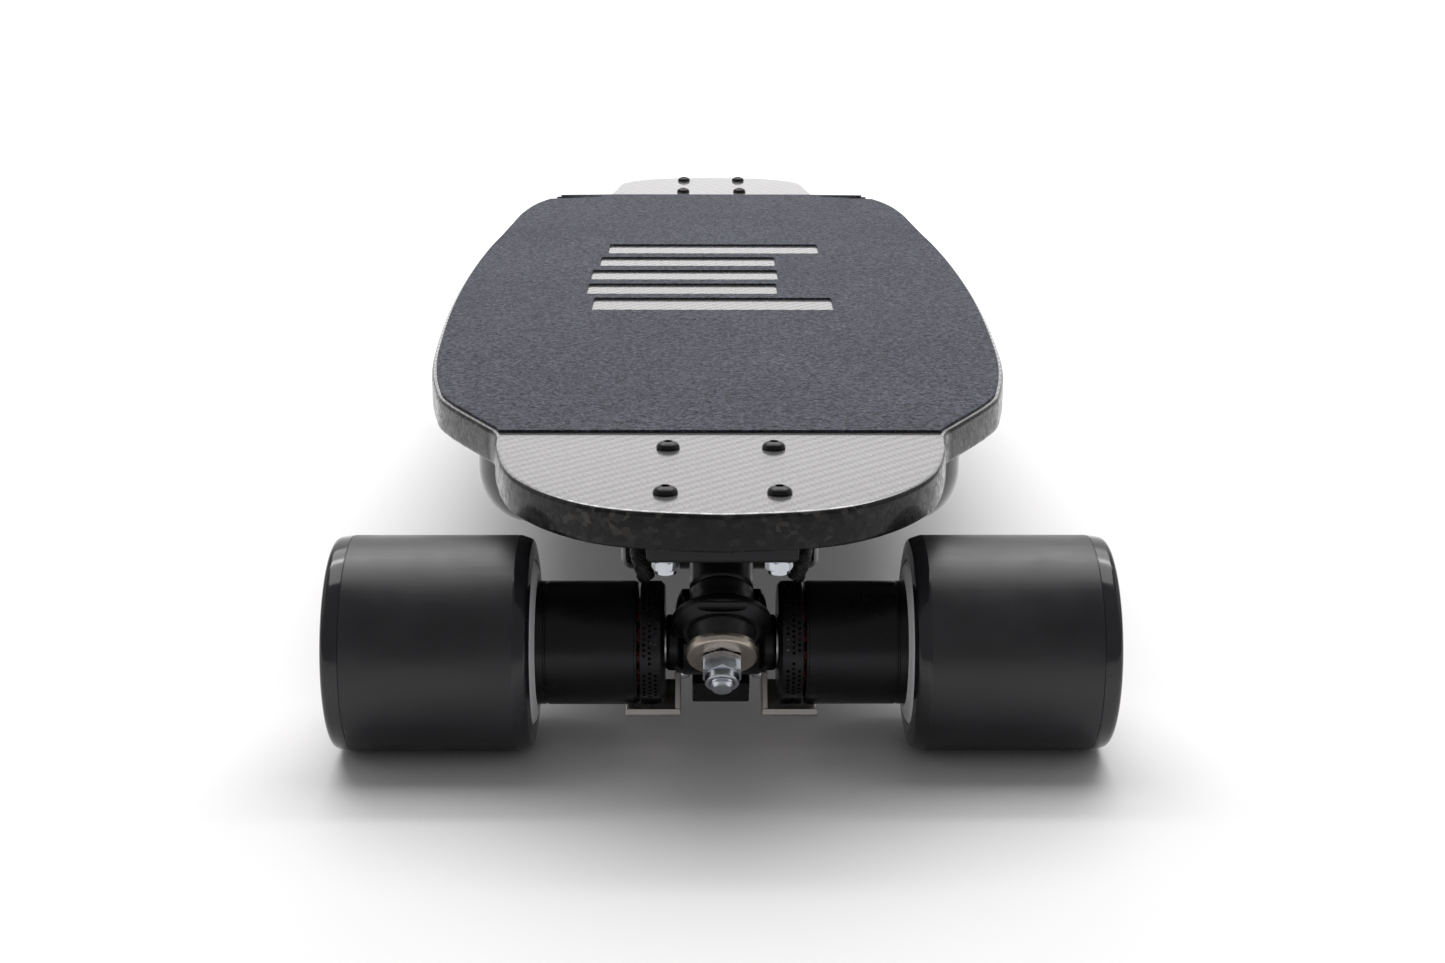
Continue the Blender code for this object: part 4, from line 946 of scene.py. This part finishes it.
# %% The hanger
def hanger_mesh(motors):
    """Built about the middle of the axle."""
    ring_place = toward(lean * ring_up, pin)
    face = 9.5 * MM
    ring = lathe_mesh("ring", [(0, -0.5 * MM), (13.6 * MM, -0.5 * MM), (18.8 * MM, 3.2 * MM),
                               (18.8 * MM, 5.8 * MM),
                               (14.6 * MM, face), (0, face)], 96, closed=False)
    shoulders = lathe_mesh("shoulders", [(17.6 * MM * sin(pi * i / 24), -17.6 * MM * cos(pi * i / 24))
                                         for i in range(25)], 72, closed=False)
    arm_end = 21.2 * MM if motors else 69.6 * MM
    bridge = rounded_box_mesh("bridge", (28 * MM, 13.6 * MM, 26 * MM), 3 * MM)
    across = toward(Vector(), X_AXIS)
    cheek = rod_mesh("cheek", 12.6 * MM, -17.0 * MM, 17.0 * MM, 2.5 * MM)
    arm = rod_mesh("arm", 10.9 * MM, -arm_end, arm_end, 0.8 * MM)
    cone = lathe_mesh("cone", [(0, -20 * MM), (12 * MM, -20 * MM), (15.5 * MM, -9 * MM), (15.5 * MM, 9 * MM),
                               (12 * MM, 20 * MM), (0, 20 * MM)], 64, closed=False)
    lean_place = toward(Vector(), lean)
    nose = rod_mesh("pivot", 5.9 * MM, -24.3 * MM, 4 * MM, 1.6 * MM)
    behind = Matrix.Translation(lean * (ring_up - 8.8 * MM) - pin * 4.9 * MM)
    solids = [(ring, ring_place), (shoulders, behind),
              (bridge, lean_place @ Matrix.Translation((0, 0, 8 * MM))), (cheek, across), (arm, across),
              (nose, lean_place)]
    if not motors:
        solids.append((cone, across))
    skin = melted("hanger", solids, 0.6 * MM, 4)
    facing = (lean * 3.7 + pin * 4.2).normalized()
    slot_box = rounded_box_mesh("slot", (20 * MM, 4.2 * MM, 4.0 * MM), 1.6 * MM, 5)
    slot_place = toward(lean * (ring_up + 16.7 * MM) + pin * 7.65 * MM, facing)
    swing = lathe_mesh("swing", [(0, -0.5 * MM), (13.3 * MM, -0.5 * MM), (19.2 * MM, -28 * MM),
                                 (0, -28 * MM)], 96,
                       closed=False)
    cuts = [
        ("DIFFERENCE", swing, ring_place),
        ("DIFFERENCE", rod_mesh("ring_bore", 8 * MM, -3 * MM, face + 2 * MM), ring_place),
        ("DIFFERENCE", rod_mesh("bushing_seat", 12.9 * MM, 7.2 * MM, face + 3 * MM), ring_place),
        ("DIFFERENCE", slot_box, slot_place),
        ("DIFFERENCE", rod_mesh("axle_bore", 4.3 * MM, -90 * MM, 90 * MM), across),
    ]
    return combined("hanger", skin, cuts)


def spindle_mesh(start):
    return lathe_mesh("spindle", filleted([
        (4.4 * MM, start, 0), (10 * MM, start, 0.3 * MM), (10 * MM, 77 * MM, 0.5 * MM),
        (7 * MM, 77.2 * MM, 0.2 * MM),
        (7 * MM, 83.9 * MM, 0.5 * MM), (4.4 * MM, 83.9 * MM, 0.2 * MM)], 4), 64)


for end in ("tail", "nose"):
    place = Matrix.Translation(axle[end]) @ Matrix.Rotation(pi if end == "tail" else 0.0, 4, "Z")
    mesh = hanger_mesh(end == "tail")
    body = f"{end}_hanger_body"
    hanger = finish_piece(f"{end}_hanger_cast", mesh, place, finish["anodised"], body,
                          angle=32)
    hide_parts(f"{end}_hanger")
    for side, way in (("left", -1), ("right", 1)):
        start = 20.5 * MM if end == "tail" else 69 * MM
        finish_piece(f"{end}_{side}_spindle", spindle_mesh(start), toward(axle[end], (way, 0, 0)),
                     finish["steel"],
                     body, angle=30)
    print(f"{end} hanger: {len(mesh.polygons)} faces")

# %% [markdown]
# On the kingpin, from the hanger's ring outward: a cone-shaped bushing, a cupped washer, a lock nut with its
# nylon ring, and the rounded end of the kingpin. The washer's rim is thin and turned over the bushing. Both
# bushings are urethane. The roadside one has a bore wider than a real one, so that the bend clears the
# kingpin.

# %% The kingpin's stack
bushing_mesh = lathe_mesh("road_bushing", filleted([
    (6.4 * MM, 0, 0), (12.6 * MM, 0, 0.6 * MM), (12.6 * MM, 1.8 * MM, 1.0 * MM),
    (10.3 * MM, 10.9 * MM, 0.9 * MM),
    (6.4 * MM, 10.9 * MM, 0)], 5), 96)
barrel_mesh = lathe_mesh("board_bushing", filleted([
    (5.1 * MM, 0, 0), (12.4 * MM, 0, 0.9 * MM), (12.1 * MM, 3.6 * MM, 3 * MM),
    (12.4 * MM, 7.3 * MM, 0.9 * MM),
    (5.1 * MM, 7.3 * MM, 0)], 5), 96)
cup_mesh = lathe_mesh("cupped_washer", filleted([
    (5.1 * MM, 2.2 * MM, 0.2 * MM), (9.2 * MM, 2.15 * MM, 1.5 * MM), (13.0 * MM, 1.6 * MM, 1.5 * MM),
    (13.95 * MM, -0.2 * MM, 0.8 * MM), (13.95 * MM, -1.9 * MM, 0.25 * MM), (13.1 * MM, -1.9 * MM, 0.2 * MM),
    (13.0 * MM, -0.1 * MM, 0.4 * MM), (12.4 * MM, 0.1 * MM, 0.4 * MM),
    (5.1 * MM, 0.1 * MM, 0.2 * MM)], 5), 96)
pin_nut = nut_mesh(14.2 * MM, 10.2 * MM, 4.85 * MM, 6.4 * MM)
nylon_mesh = lathe_mesh("nylon_ring", filleted([
    (4.75 * MM, 0, 0), (6.0 * MM, 0, 0), (6.0 * MM, 1.7 * MM, 0.5 * MM),
    (4.75 * MM, 1.7 * MM, 0.4 * MM)], 4), 64)
for end in ("tail", "nose"):
    spot = ring_center[end]
    pin_way = kingpin_axis[end]

    def on_pin(distance):
        return toward(spot + pin_way * distance * MM, pin_way)

    for name, mesh, distance, dress, slot_name in (
            ("roadside_bushing", bushing_mesh, 7.35, "bushing", "bushing_urethane"),
            ("boardside_bushing", barrel_mesh, -8.1, "bushing", "bushing_urethane"),
            ("cup_washer", cup_mesh, 18.5, "nickel", "nickel"),
            ("kingpin_nut", pin_nut, 20.9, "zinc", "zinc_steel")):
        if dress == "bushing":
            ring_side, far_side = (distance, distance + 10.5) if distance > 0 else (-0.8, distance)
            piece = bending_piece(f"{end}_{name}_turned", mesh.copy(), on_pin(distance), finish[dress],
                                  (on_pin(ring_side).translation, on_pin(far_side).translation))
        else:
            piece = finish_piece(f"{end}_{name}_turned", mesh.copy(), on_pin(distance), finish[dress],
                                 "deck_body",
                                 angle=32)
        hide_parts(f"{end}_{name}")
    finish_piece(f"{end}_nylon_ring", nylon_mesh.copy(), on_pin(29.3), finish["nylon"], "deck_body")
    thread = threaded_mesh("kingpin_thread", 4.6 * MM, 15.5 * MM, 1.0 * MM, 1.0 * MM, 64)
    finish_piece(f"{end}_kingpin_threaded", thread, on_pin(17.6), finish["zinc"], "deck_body")
    shank = finish_piece(f"{end}_kingpin_shank", lathe_mesh("kingpin_shank", filleted([
        (0, -40.3 * MM, 0), (6.2 * MM, -40.3 * MM, 1 * MM), (7.9 * MM, -39.0 * MM, 0.6 * MM),
        (7.9 * MM, -34.7 * MM, 0.4 * MM), (4.7 * MM, -34.6 * MM, 0.3 * MM), (4.7 * MM, 17.8 * MM, 0.2 * MM),
        (0, 17.8 * MM, 0)], 4), 64, closed=False), on_pin(0), finish["zinc"], "deck_body")
    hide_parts(f"{end}_kingpin")
print("two kingpin stacks")

# %% [markdown]
# The axle is a ground rod. Each end carries a speed ring and a lock nut, deep in the wheel.

# %% Axles and their nuts
axle_nut = nut_mesh(12.6 * MM, 6.4 * MM, 4.1 * MM, 5.4 * MM)
speed_ring = lathe_mesh("speed_ring", filleted([
    (4.2 * MM, 0, 0.1 * MM), (6.2 * MM, 0, 0.2 * MM), (6.2 * MM, 0.5 * MM, 0.2 * MM),
    (4.2 * MM, 0.5 * MM, 0.1 * MM)],
    3), 64)
for end in ("tail", "nose"):
    body = f"{end}_hanger_body"
    rod = finish_piece(f"{end}_axle_ground", lathe_mesh("axle_rod", filleted([
        (0, -142 * MM, 0), (3.9 * MM, -142 * MM, 0.8 * MM), (3.9 * MM, 142 * MM, 0.8 * MM),
        (0, 142 * MM, 0)], 4), 48,
        closed=False), toward(axle[end], X_AXIS), finish["steel"], body)
    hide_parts(f"{end}_axle")
    for side, way in (("left", -1), ("right", 1)):
        def on_axle(distance):
            return toward(axle[end] + Vector((way * distance * MM, 0, 0)), (way, 0, 0))

        finish_piece(f"{end}_{side}_speed_ring", speed_ring.copy(), on_axle(135.0), finish["zinc"], body)
        finish_piece(f"{end}_{side}_axle_nut", axle_nut.copy(), on_axle(135.6), finish["zinc"], body)
        thread = threaded_mesh("axle_thread", 3.98 * MM, 8.0 * MM, 0.9 * MM, 0.7 * MM, 40)
        finish_piece(f"{end}_{side}_axle_thread", thread, on_axle(135.2), finish["zinc"], body)
print("axles, speed rings and nuts")

# %% [markdown]
# ## The motors
# Each motor is an outrunner: the black tube turns with the wheel, and the end bell stands still. The end bell
# has eight groups of small vent holes round it, each of three columns, and the red windings show behind them.
# The holes are cut for real, all of them at once with one many-bodied tool.

# %% End bell with its vents
VENT = 0.62 * MM
VENT_STEP = radians(5)
VENT_COLUMNS = (25.0 * MM, 27.15 * MM, 29.3 * MM)


def vents_mesh():
    tools = bmesh.new()
    for group in range(8):
        for column, place in enumerate(VENT_COLUMNS):
            rows = [row + 0.5 for row in range(1, 7)] if column != 1 else range(0, 8)
            for row in rows:
                turn = group * pi / 4 + row * VENT_STEP
                drill = Matrix.Rotation(turn, 4, "Z") @ Matrix.Translation((22.6 * MM, 0, place - 21.5 * MM))
                drill = drill @ Matrix.Rotation(pi / 2, 4, "Y")
                bmesh.ops.create_cone(tools, cap_ends=True, segments=10, radius1=VENT, radius2=VENT,
                                      depth=3.6 * MM,
                                      matrix=drill)
    mesh = bpy.data.meshes.new("vents")
    tools.to_mesh(mesh)
    tools.free()
    return mesh


def end_bell_mesh():
    r = motor_radius
    shell = lathe_mesh("end_bell", filleted([
        (11.4 * MM, 0.1 * MM, 0.3 * MM), (r - 1.6 * MM, 0.1 * MM, 0.8 * MM),
        (r - 0.05 * MM, 1.6 * MM, 0.4 * MM),
        (r - 0.05 * MM, 9.4 * MM, 0.3 * MM), (r - 1.3 * MM, 9.4 * MM, 0.2 * MM),
        (r - 1.3 * MM, 2.4 * MM, 0.3 * MM),
        (11.4 * MM, 2.2 * MM, 0.2 * MM)], 4), 144)
    return combined("end_bell", shell, [("DIFFERENCE", vents_mesh(), Matrix())])


def rotor_mesh():
    r = motor_radius
    length = 52 * MM
    return lathe_mesh("rotor", filleted([
        (r - 2.4 * MM, 0, 0.2 * MM), (r - 0.4 * MM, 0, 0.35 * MM), (r - 0.3 * MM, 1.0 * MM, 0.1 * MM),
        (r, 1.2 * MM, 0.2 * MM), (r, 34.4 * MM, 0.2 * MM), (r - 0.35 * MM, 34.6 * MM, 0.05 * MM),
        (r - 0.35 * MM, 35.2 * MM, 0.05 * MM), (r, 35.4 * MM, 0.2 * MM), (r, length, 0.3 * MM),
        (9.2 * MM, length, 0.2 * MM), (9.2 * MM, length - 2.8 * MM, 0.2 * MM),
        (r - 2.4 * MM, length - 3 * MM, 0.4 * MM)], 4), 144)


def windings_mesh():
    """Twelve wound teeth, each shown by a rounded lump at either end of the laminations."""
    shape = bmesh.new()
    lump = rounded_box_mesh("lump", (8.6 * MM, 6.8 * MM, 9.5 * MM), 2.2 * MM, 3)
    for end_height in (-4.4 * MM, 43.6 * MM):
        for tooth in range(12):
            part = bmesh.new()
            part.from_mesh(lump)
            turn = Matrix.Rotation(tooth * pi / 6, 4, "Z")
            part.transform(turn @ Matrix.Translation((13.2 * MM, 0, end_height)))
            scratch = bpy.data.meshes.new("scratch")
            part.to_mesh(scratch)
            part.free()
            shape.from_mesh(scratch)
            bpy.data.meshes.remove(scratch)
    mesh = bpy.data.meshes.new("windings")
    shape.to_mesh(mesh)
    shape.free()
    return mesh


BELL_AT, ROTOR_AT, STATOR_AT = 21.5, 32.0, 36.2  # mm out from the board's middle
bell_mesh = end_bell_mesh()
tube_mesh = rotor_mesh()
coil_mesh = windings_mesh()
stack_mesh = lathe_mesh("laminations", filleted([
    (10.3 * MM, 0, 0.2 * MM), (20.3 * MM, 0, 0.4 * MM), (20.3 * MM, 39.6 * MM, 0.4 * MM),
    (10.3 * MM, 39.6 * MM, 0.2 * MM)], 3), 72)
for side in ("left", "right"):
    way = 1 if middle(f"{side}_motor_rotor").x > 0 else -1

    def along(distance):
        return toward(axle["tail"] + Vector((way * distance * MM, 0, 0)), (way, 0, 0))

    piece = finish_piece(f"{side}_motor_end_bell_vented", bell_mesh.copy(), along(BELL_AT),
                         finish["anodised"],
                         "tail_hanger_body", angle=30)
    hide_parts(f"{side}_motor_end_bell")
    piece = finish_piece(f"{side}_motor_rotor_tube", tube_mesh.copy(), along(ROTOR_AT), finish["anodised"],
                         f"tail_{side}_wheel_body", angle=30)
    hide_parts(f"{side}_motor_rotor")
    piece = finish_piece(f"{side}_motor_laminations", stack_mesh.copy(), along(STATOR_AT), finish["steel"],
                         "tail_hanger_body", angle=30)
    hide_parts(f"{side}_motor_stator")
    finish_piece(f"{side}_motor_windings", coil_mesh.copy(), along(STATOR_AT), finish["windings"],
                 "tail_hanger_body",
                 angle=30)
print(f"end bell with vents: {len(bell_mesh.polygons)} faces")

# %% [markdown]
# Under each motor sits a guard bent from stainless sheet: a skirt that follows the motor, and a web that
# stands against the hanger, held by one screw.

# %% Motor guards
def guard_mesh():
    """Built about the axle, with X across the board, outward for the right-hand guard."""
    r = motor_radius
    inside, outside = r + 2.7 * MM, r + 4.9 * MM
    low, high = -pi / 2 - radians(36.5), -pi / 2 + radians(36.5)

    def bow(radius, first, last, count=25):
        turns = [first + (last - first) * i / (count - 1) for i in range(count)]
        return [(radius * cos(a), radius * sin(a)) for a in turns]

    skirt = yz_plate("skirt", bow(outside, low, high) + bow(inside, high, low), 21.2 * MM)
    web_outline = (bow(outside - 0.3 * MM, low + 0.01, high - 0.01)
                   + bow(11.6 * MM, high - 0.12, low + 0.12, 13))
    web = yz_plate("web", web_outline, 2.2 * MM)
    return combined("guard", skirt, [("UNION", web, Matrix.Translation((-9.5 * MM, 0, 0)))])


guard = guard_mesh()
for side in ("left", "right"):
    way = 1 if middle(f"{side}_motor_guard").x > 0 else -1
    center = axle["tail"] + Vector((way * 26.25 * MM, 0, 0))
    turn = Matrix.Identity(4) if way > 0 else Matrix.Rotation(pi, 4, "Z")
    piece = finish_piece(f"{side}_motor_guard_bent", guard.copy(), Matrix.Translation(center) @ turn,
                         finish["stainless"], "tail_hanger_body", angle=30)
    soften(piece, 0.35 * MM, 2)
    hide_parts(f"{side}_motor_guard")
    spot = axle["tail"] + Vector((way * 15.6 * MM, 0, -12.6 * MM))
    finish_piece(f"{side}_guard_screw", button_head_mesh(5.0 * MM, 3.9 * MM, 2.5 * MM),
                 toward(spot, (-way, 0, 0)),
                 finish["zinc"], "tail_hanger_body")
print("2 guards and their screws")

# %% [markdown]
# ## Cables and the cable box
# The three phase wires of each motor run together in a braided sleeve. It leaves the box under the deck and
# drops to the motor. The sleeve is not perfectly round: it is gathered in small uneven rings.

# %% A gathered sleeve along a path
def bezier(knots, t):
    points = list(knots)
    while len(points) > 1:
        points = [a.lerp(b, t) for a, b in zip(points, points[1:])]
    return points[0]


def sleeve_mesh(knots, radius, rings=90, sides=28):
    path = [bezier(knots, i / (rings - 1)) for i in range(rings)]
    shape = bmesh.new()
    loops = []
    for i, point in enumerate(path):
        tangent = (path[min(i + 1, rings - 1)] - path[max(i - 1, 0)]).normalized()
        first = X_AXIS - tangent * X_AXIS.dot(tangent)
        first.normalize()
        second = tangent.cross(first)
        gather = 0.93 + 0.04 * sin(i * 0.9) + 0.03 * sin(i * 2.3 + 1.0)
        loop = []
        for side in range(sides):
            a = 2 * pi * side / sides
            fold = 1 + 0.025 * sin(3 * a + i * 0.35)
            offset = (first * cos(a) + second * sin(a)) * radius * gather * fold
            loop.append(shape.verts.new(point + offset))
        loops.append(loop)
    for low, high in zip(loops, loops[1:]):
        for side in range(sides):
            other = (side + 1) % sides
            shape.faces.new((low[side], low[other], high[other], high[side]))
    shape.faces.new(list(reversed(loops[0])))
    shape.faces.new(loops[-1])
    mesh = bpy.data.meshes.new("sleeve")
    bmesh.ops.recalc_face_normals(shape, faces=shape.faces)
    shape.to_mesh(mesh)
    shape.free()
    return mesh


SLEEVE_RADIUS = 3.7 * MM
for side in ("left", "right"):
    low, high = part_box(f"{side}_motor_cable")
    way = 1 if middle(f"{side}_motor_cable").x > 0 else -1
    top = high.z - 4 * MM
    bell_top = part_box(f"{side}_motor_end_bell")[1].z
    knots = [
        Vector((way * 30 * MM, high.y, top)),
        Vector((way * 33.5 * MM, high.y - 12 * MM, top + 1 * MM)),
        Vector((way * 34.0 * MM, low.y - 2 * MM, top + 1 * MM)),
        Vector((way * 28.5 * MM, low.y - 0.5 * MM, bell_top + 1.2 * MM)),
    ]
    sleeve = bending_piece(f"{side}_cable_sleeve", sleeve_mesh(knots, SLEEVE_RADIUS), Matrix(),
                           finish["braid"],
                           (knots[0], knots[-1]))
    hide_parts(f"{side}_motor_cable")
    collar = lathe_mesh("grommet", filleted([
        (3.9 * MM, 0, 0), (5.6 * MM, 0, 0.4 * MM), (5.2 * MM, 3.0 * MM, 0.8 * MM),
        (3.9 * MM, 3.0 * MM, 0.3 * MM)], 4), 40)
    finish_piece(f"{side}_cable_grommet", collar, toward(knots[0], (0, -1, 0)), finish["matt_black"],
                 "deck_body")

box_low, box_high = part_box("cable_box")
box = finish_piece("cable_box_moulded", rounded_box_mesh("cable_box", box_high - box_low, 5 * MM, 8),
                   Matrix.Translation(middle("cable_box")), finish["gloss_black"], "deck_body")
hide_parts("cable_box")
print("cables and cable box")

# %% [markdown]
# ## The enclosure
# Under the deck hangs a tub of black moulded plastic. It has generous rounds, a wall of 2.6 mm, and a row of
# screws near each long side. Its right wall is bored for the power button and the charging socket.

# %% The tub
tub_low, tub_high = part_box("enclosure")
tub_size = tub_high - tub_low
shape = bmesh.new()
bmesh.ops.create_cube(shape, size=1.0)
bmesh.ops.scale(shape, vec=tub_size, verts=shape.verts)
rounded = [edge for edge in shape.edges if min(v.co.z for v in edge.verts) < 0]
bmesh.ops.bevel(shape, geom=rounded, offset=24 * MM, segments=12, profile=0.5, affect="EDGES")
bmesh.ops.delete(shape, geom=[face for face in shape.faces if face.normal.z > 0.99], context="FACES")
tub_mesh = bpy.data.meshes.new("tub")
shape.to_mesh(tub_mesh)
shape.free()
hollow = bpy.data.objects.new("hollow", tub_mesh)
bpy.context.scene.collection.objects.link(hollow)
wall = hollow.modifiers.new("wall", "SOLIDIFY")
wall.thickness = 2.6 * MM
wall.offset = -1
wall.use_even_offset = True
bpy.context.view_layer.update()
thick = bpy.data.meshes.new_from_object(hollow.evaluated_get(bpy.context.evaluated_depsgraph_get()))
bpy.data.objects.remove(hollow)
tub_middle = middle("enclosure")
holes = []
for control, radius in (("power_button", 6.3 * MM), ("charge_socket", 7.8 * MM)):
    spot = middle(control) - tub_middle
    holes.append(("DIFFERENCE", rod_mesh("hole", radius, -8 * MM, 8 * MM),
                  toward(Vector((tub_size.x / 2, spot.y, spot.z)), X_AXIS)))
tub = finish_piece("enclosure_tub", combined("enclosure_tub", thick, holes), Matrix.Translation(tub_middle),
                   finish["gloss_black"], "deck_body", angle=40)
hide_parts("enclosure")
screw_mesh = button_head_mesh(6 * MM, 2.2 * MM, 2.5 * MM)
for i in range(6):
    along = tub_low.y + 50 * MM + i * (tub_size.y - 100 * MM) / 5
    for name, way in (("left", -1), ("right", 1)):
        place = Matrix.Translation((way * (tub_size.x / 2 - 32 * MM), along, tub_low.z + 0.2 * MM)) @ DOWN
        finish_piece(f"enclosure_screw_{name}_{i}", screw_mesh.copy(), place, finish["black_oxide"],
                     "deck_body")
print(f"tub {tub_size.x / MM:.0f} x {tub_size.y / MM:.0f} x {tub_size.z / MM:.0f} mm, 12 screws")

# %% [markdown]
# The button is brushed steel with a dished face. The socket is a black barrel with a rim and a centre pin.

# %% Button, socket and what is inside
button_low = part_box("power_button")[0]
button = finish_piece("power_button_dished", lathe_mesh("button", filleted([
    (0, 0, 0), (5.9 * MM, 0, 0.2 * MM), (5.9 * MM, 6.3 * MM, 0.3 * MM), (4.9 * MM, 6.9 * MM, 0.4 * MM),
    (3.9 * MM, 6.5 * MM, 0.8 * MM), (0, 6.1 * MM, 0)], 4), 64, closed=False),
    toward(Vector((button_low.x, middle("power_button").y, middle("power_button").z)), X_AXIS),
    finish["stainless"],
    "power_button_body")
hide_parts("power_button")
socket_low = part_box("charge_socket")[0]
socket = finish_piece("charge_socket_barrel", lathe_mesh("socket", filleted([
    (0, 0, 0), (7.4 * MM, 0, 0.2 * MM), (7.4 * MM, 9.7 * MM, 0.5 * MM), (5.6 * MM, 9.7 * MM, 0.4 * MM),
    (4.6 * MM, 8.2 * MM, 0.3 * MM), (4.6 * MM, 3.0 * MM, 0.1 * MM), (1.1 * MM, 3.0 * MM, 0.1 * MM),
    (1.0 * MM, 8.0 * MM, 0.5 * MM), (0, 8.2 * MM, 0)], 4), 64, closed=False),
    toward(Vector((socket_low.x, middle("charge_socket").y, middle("charge_socket").z)), X_AXIS),
    finish["matt_black"], "deck_body")
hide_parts("charge_socket")
for name, dress, slot_name in (("battery_pack", "wrap", "battery_wrap"),
                               ("motor_controller", "anodised", "black_metal")):
    low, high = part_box(name)
    inside = finish_piece(f"{name}_cased", rounded_box_mesh(name, high - low, 2.5 * MM),
                          Matrix.Translation(middle(name)), finish[dress], "deck_body")
    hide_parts(name)
for end in ("tail", "nose"):
    liner = nodes[f"{end}_pivot_cup"]
    liner.data.materials.clear()
    liner.data.materials.append(finish["bushing"])
print("controls and inside")

# %% [markdown]
# ## Studio
# The floor is pale and matt, and runs up into a curved backdrop. A large soft light hangs overhead, a weak
# one stands on each side, and a fourth washes the backdrop. The sky is faint, so the black pieces stay black.

# %% Floor and backdrop
floor_mesh = bpy.data.meshes.new("floor")
shape = bmesh.new()
run = [(-6.0, 0.0)] + [(3.0 + 3.0 * sin(pi / 2 * i / 16), 3.0 - 3.0 * cos(pi / 2 * i / 16))
                       for i in range(17)]
run.append((6.0, 8.0))
edges = [[shape.verts.new((x, y, z)) for y, z in run] for x in (-9.0, 9.0)]
for i in range(len(run) - 1):
    shape.faces.new((edges[0][i], edges[1][i], edges[1][i + 1], edges[0][i + 1]))
bmesh.ops.recalc_face_normals(shape, faces=shape.faces)
shape.to_mesh(floor_mesh)
shape.free()
paper, graph, shader = new_finish("studio_paper", (0.86, 0.85, 0.855), 0.55)
graph.links.new(color_between(graph, noise(graph, 3.0, 2.0), (0.85, 0.84, 0.845), (0.87, 0.86, 0.865)),
                shader.inputs["Base Color"])
floor_mesh.materials.append(paper)
floor_mesh.shade_smooth()
floor = bpy.data.objects.new("studio_floor", floor_mesh)
bpy.context.scene.collection.objects.link(floor)


# %% Lights
def soft_light(name, place, target, width, height, power, color=(1, 1, 1)):
    data = bpy.data.lights.new(name, "AREA")
    data.shape = "RECTANGLE"
    data.size = width
    data.size_y = height
    data.energy = power
    data.color = color
    light = bpy.data.objects.new(name, data)
    bpy.context.scene.collection.objects.link(light)
    light.matrix_world = toward(Vector(place), Vector(place) - Vector(target))


soft_light("overhead", (0, 0.9, 2.6), (0, 0.1, 0), 3.6, 3.0, 88)
soft_light("left_wall", (-2.6, 0.2, 1.3), (0, -0.2, 0.05), 2.4, 1.8, 5, (1, 0.99, 0.985))
soft_light("right_wall", (2.6, 0.2, 1.4), (0, -0.2, 0.05), 2.4, 1.8, 4.5)
soft_light("backdrop_wash", (0, 2.0, 4.2), (0, 5.0, 1.0), 6.0, 1.5, 210)
world = bpy.data.worlds.new("studio_sky")
bpy.context.scene.world = world
world.use_nodes = True
world.node_tree.nodes["Background"].inputs["Color"].default_value = (0.97, 0.965, 0.98, 1)
world.node_tree.nodes["Background"].inputs["Strength"].default_value = 0.3
bpy.context.scene.view_settings.view_transform = "Standard"

# %% [markdown]
# The camera stands low behind the tail and looks down the board, with a lens of about 50 mm. Its values were
# solved from the bolt pattern, whose size is a standard one.

# %% Camera
camera_data = bpy.data.cameras.new("camera")
camera_data.sensor_width = 36
camera_data.lens = 51.04
camera = bpy.data.objects.new("camera", camera_data)
bpy.context.scene.collection.objects.link(camera)
tilt = (Matrix.Rotation(-0.0112, 4, "Z") @ Matrix.Rotation(pi / 2 - 0.2748, 4, "X")
        @ Matrix.Rotation(0.003, 4, "Z"))
camera.matrix_world = Matrix.Translation((-0.0080, -1.1401, 0.3165)) @ tilt
bpy.context.scene.camera = camera
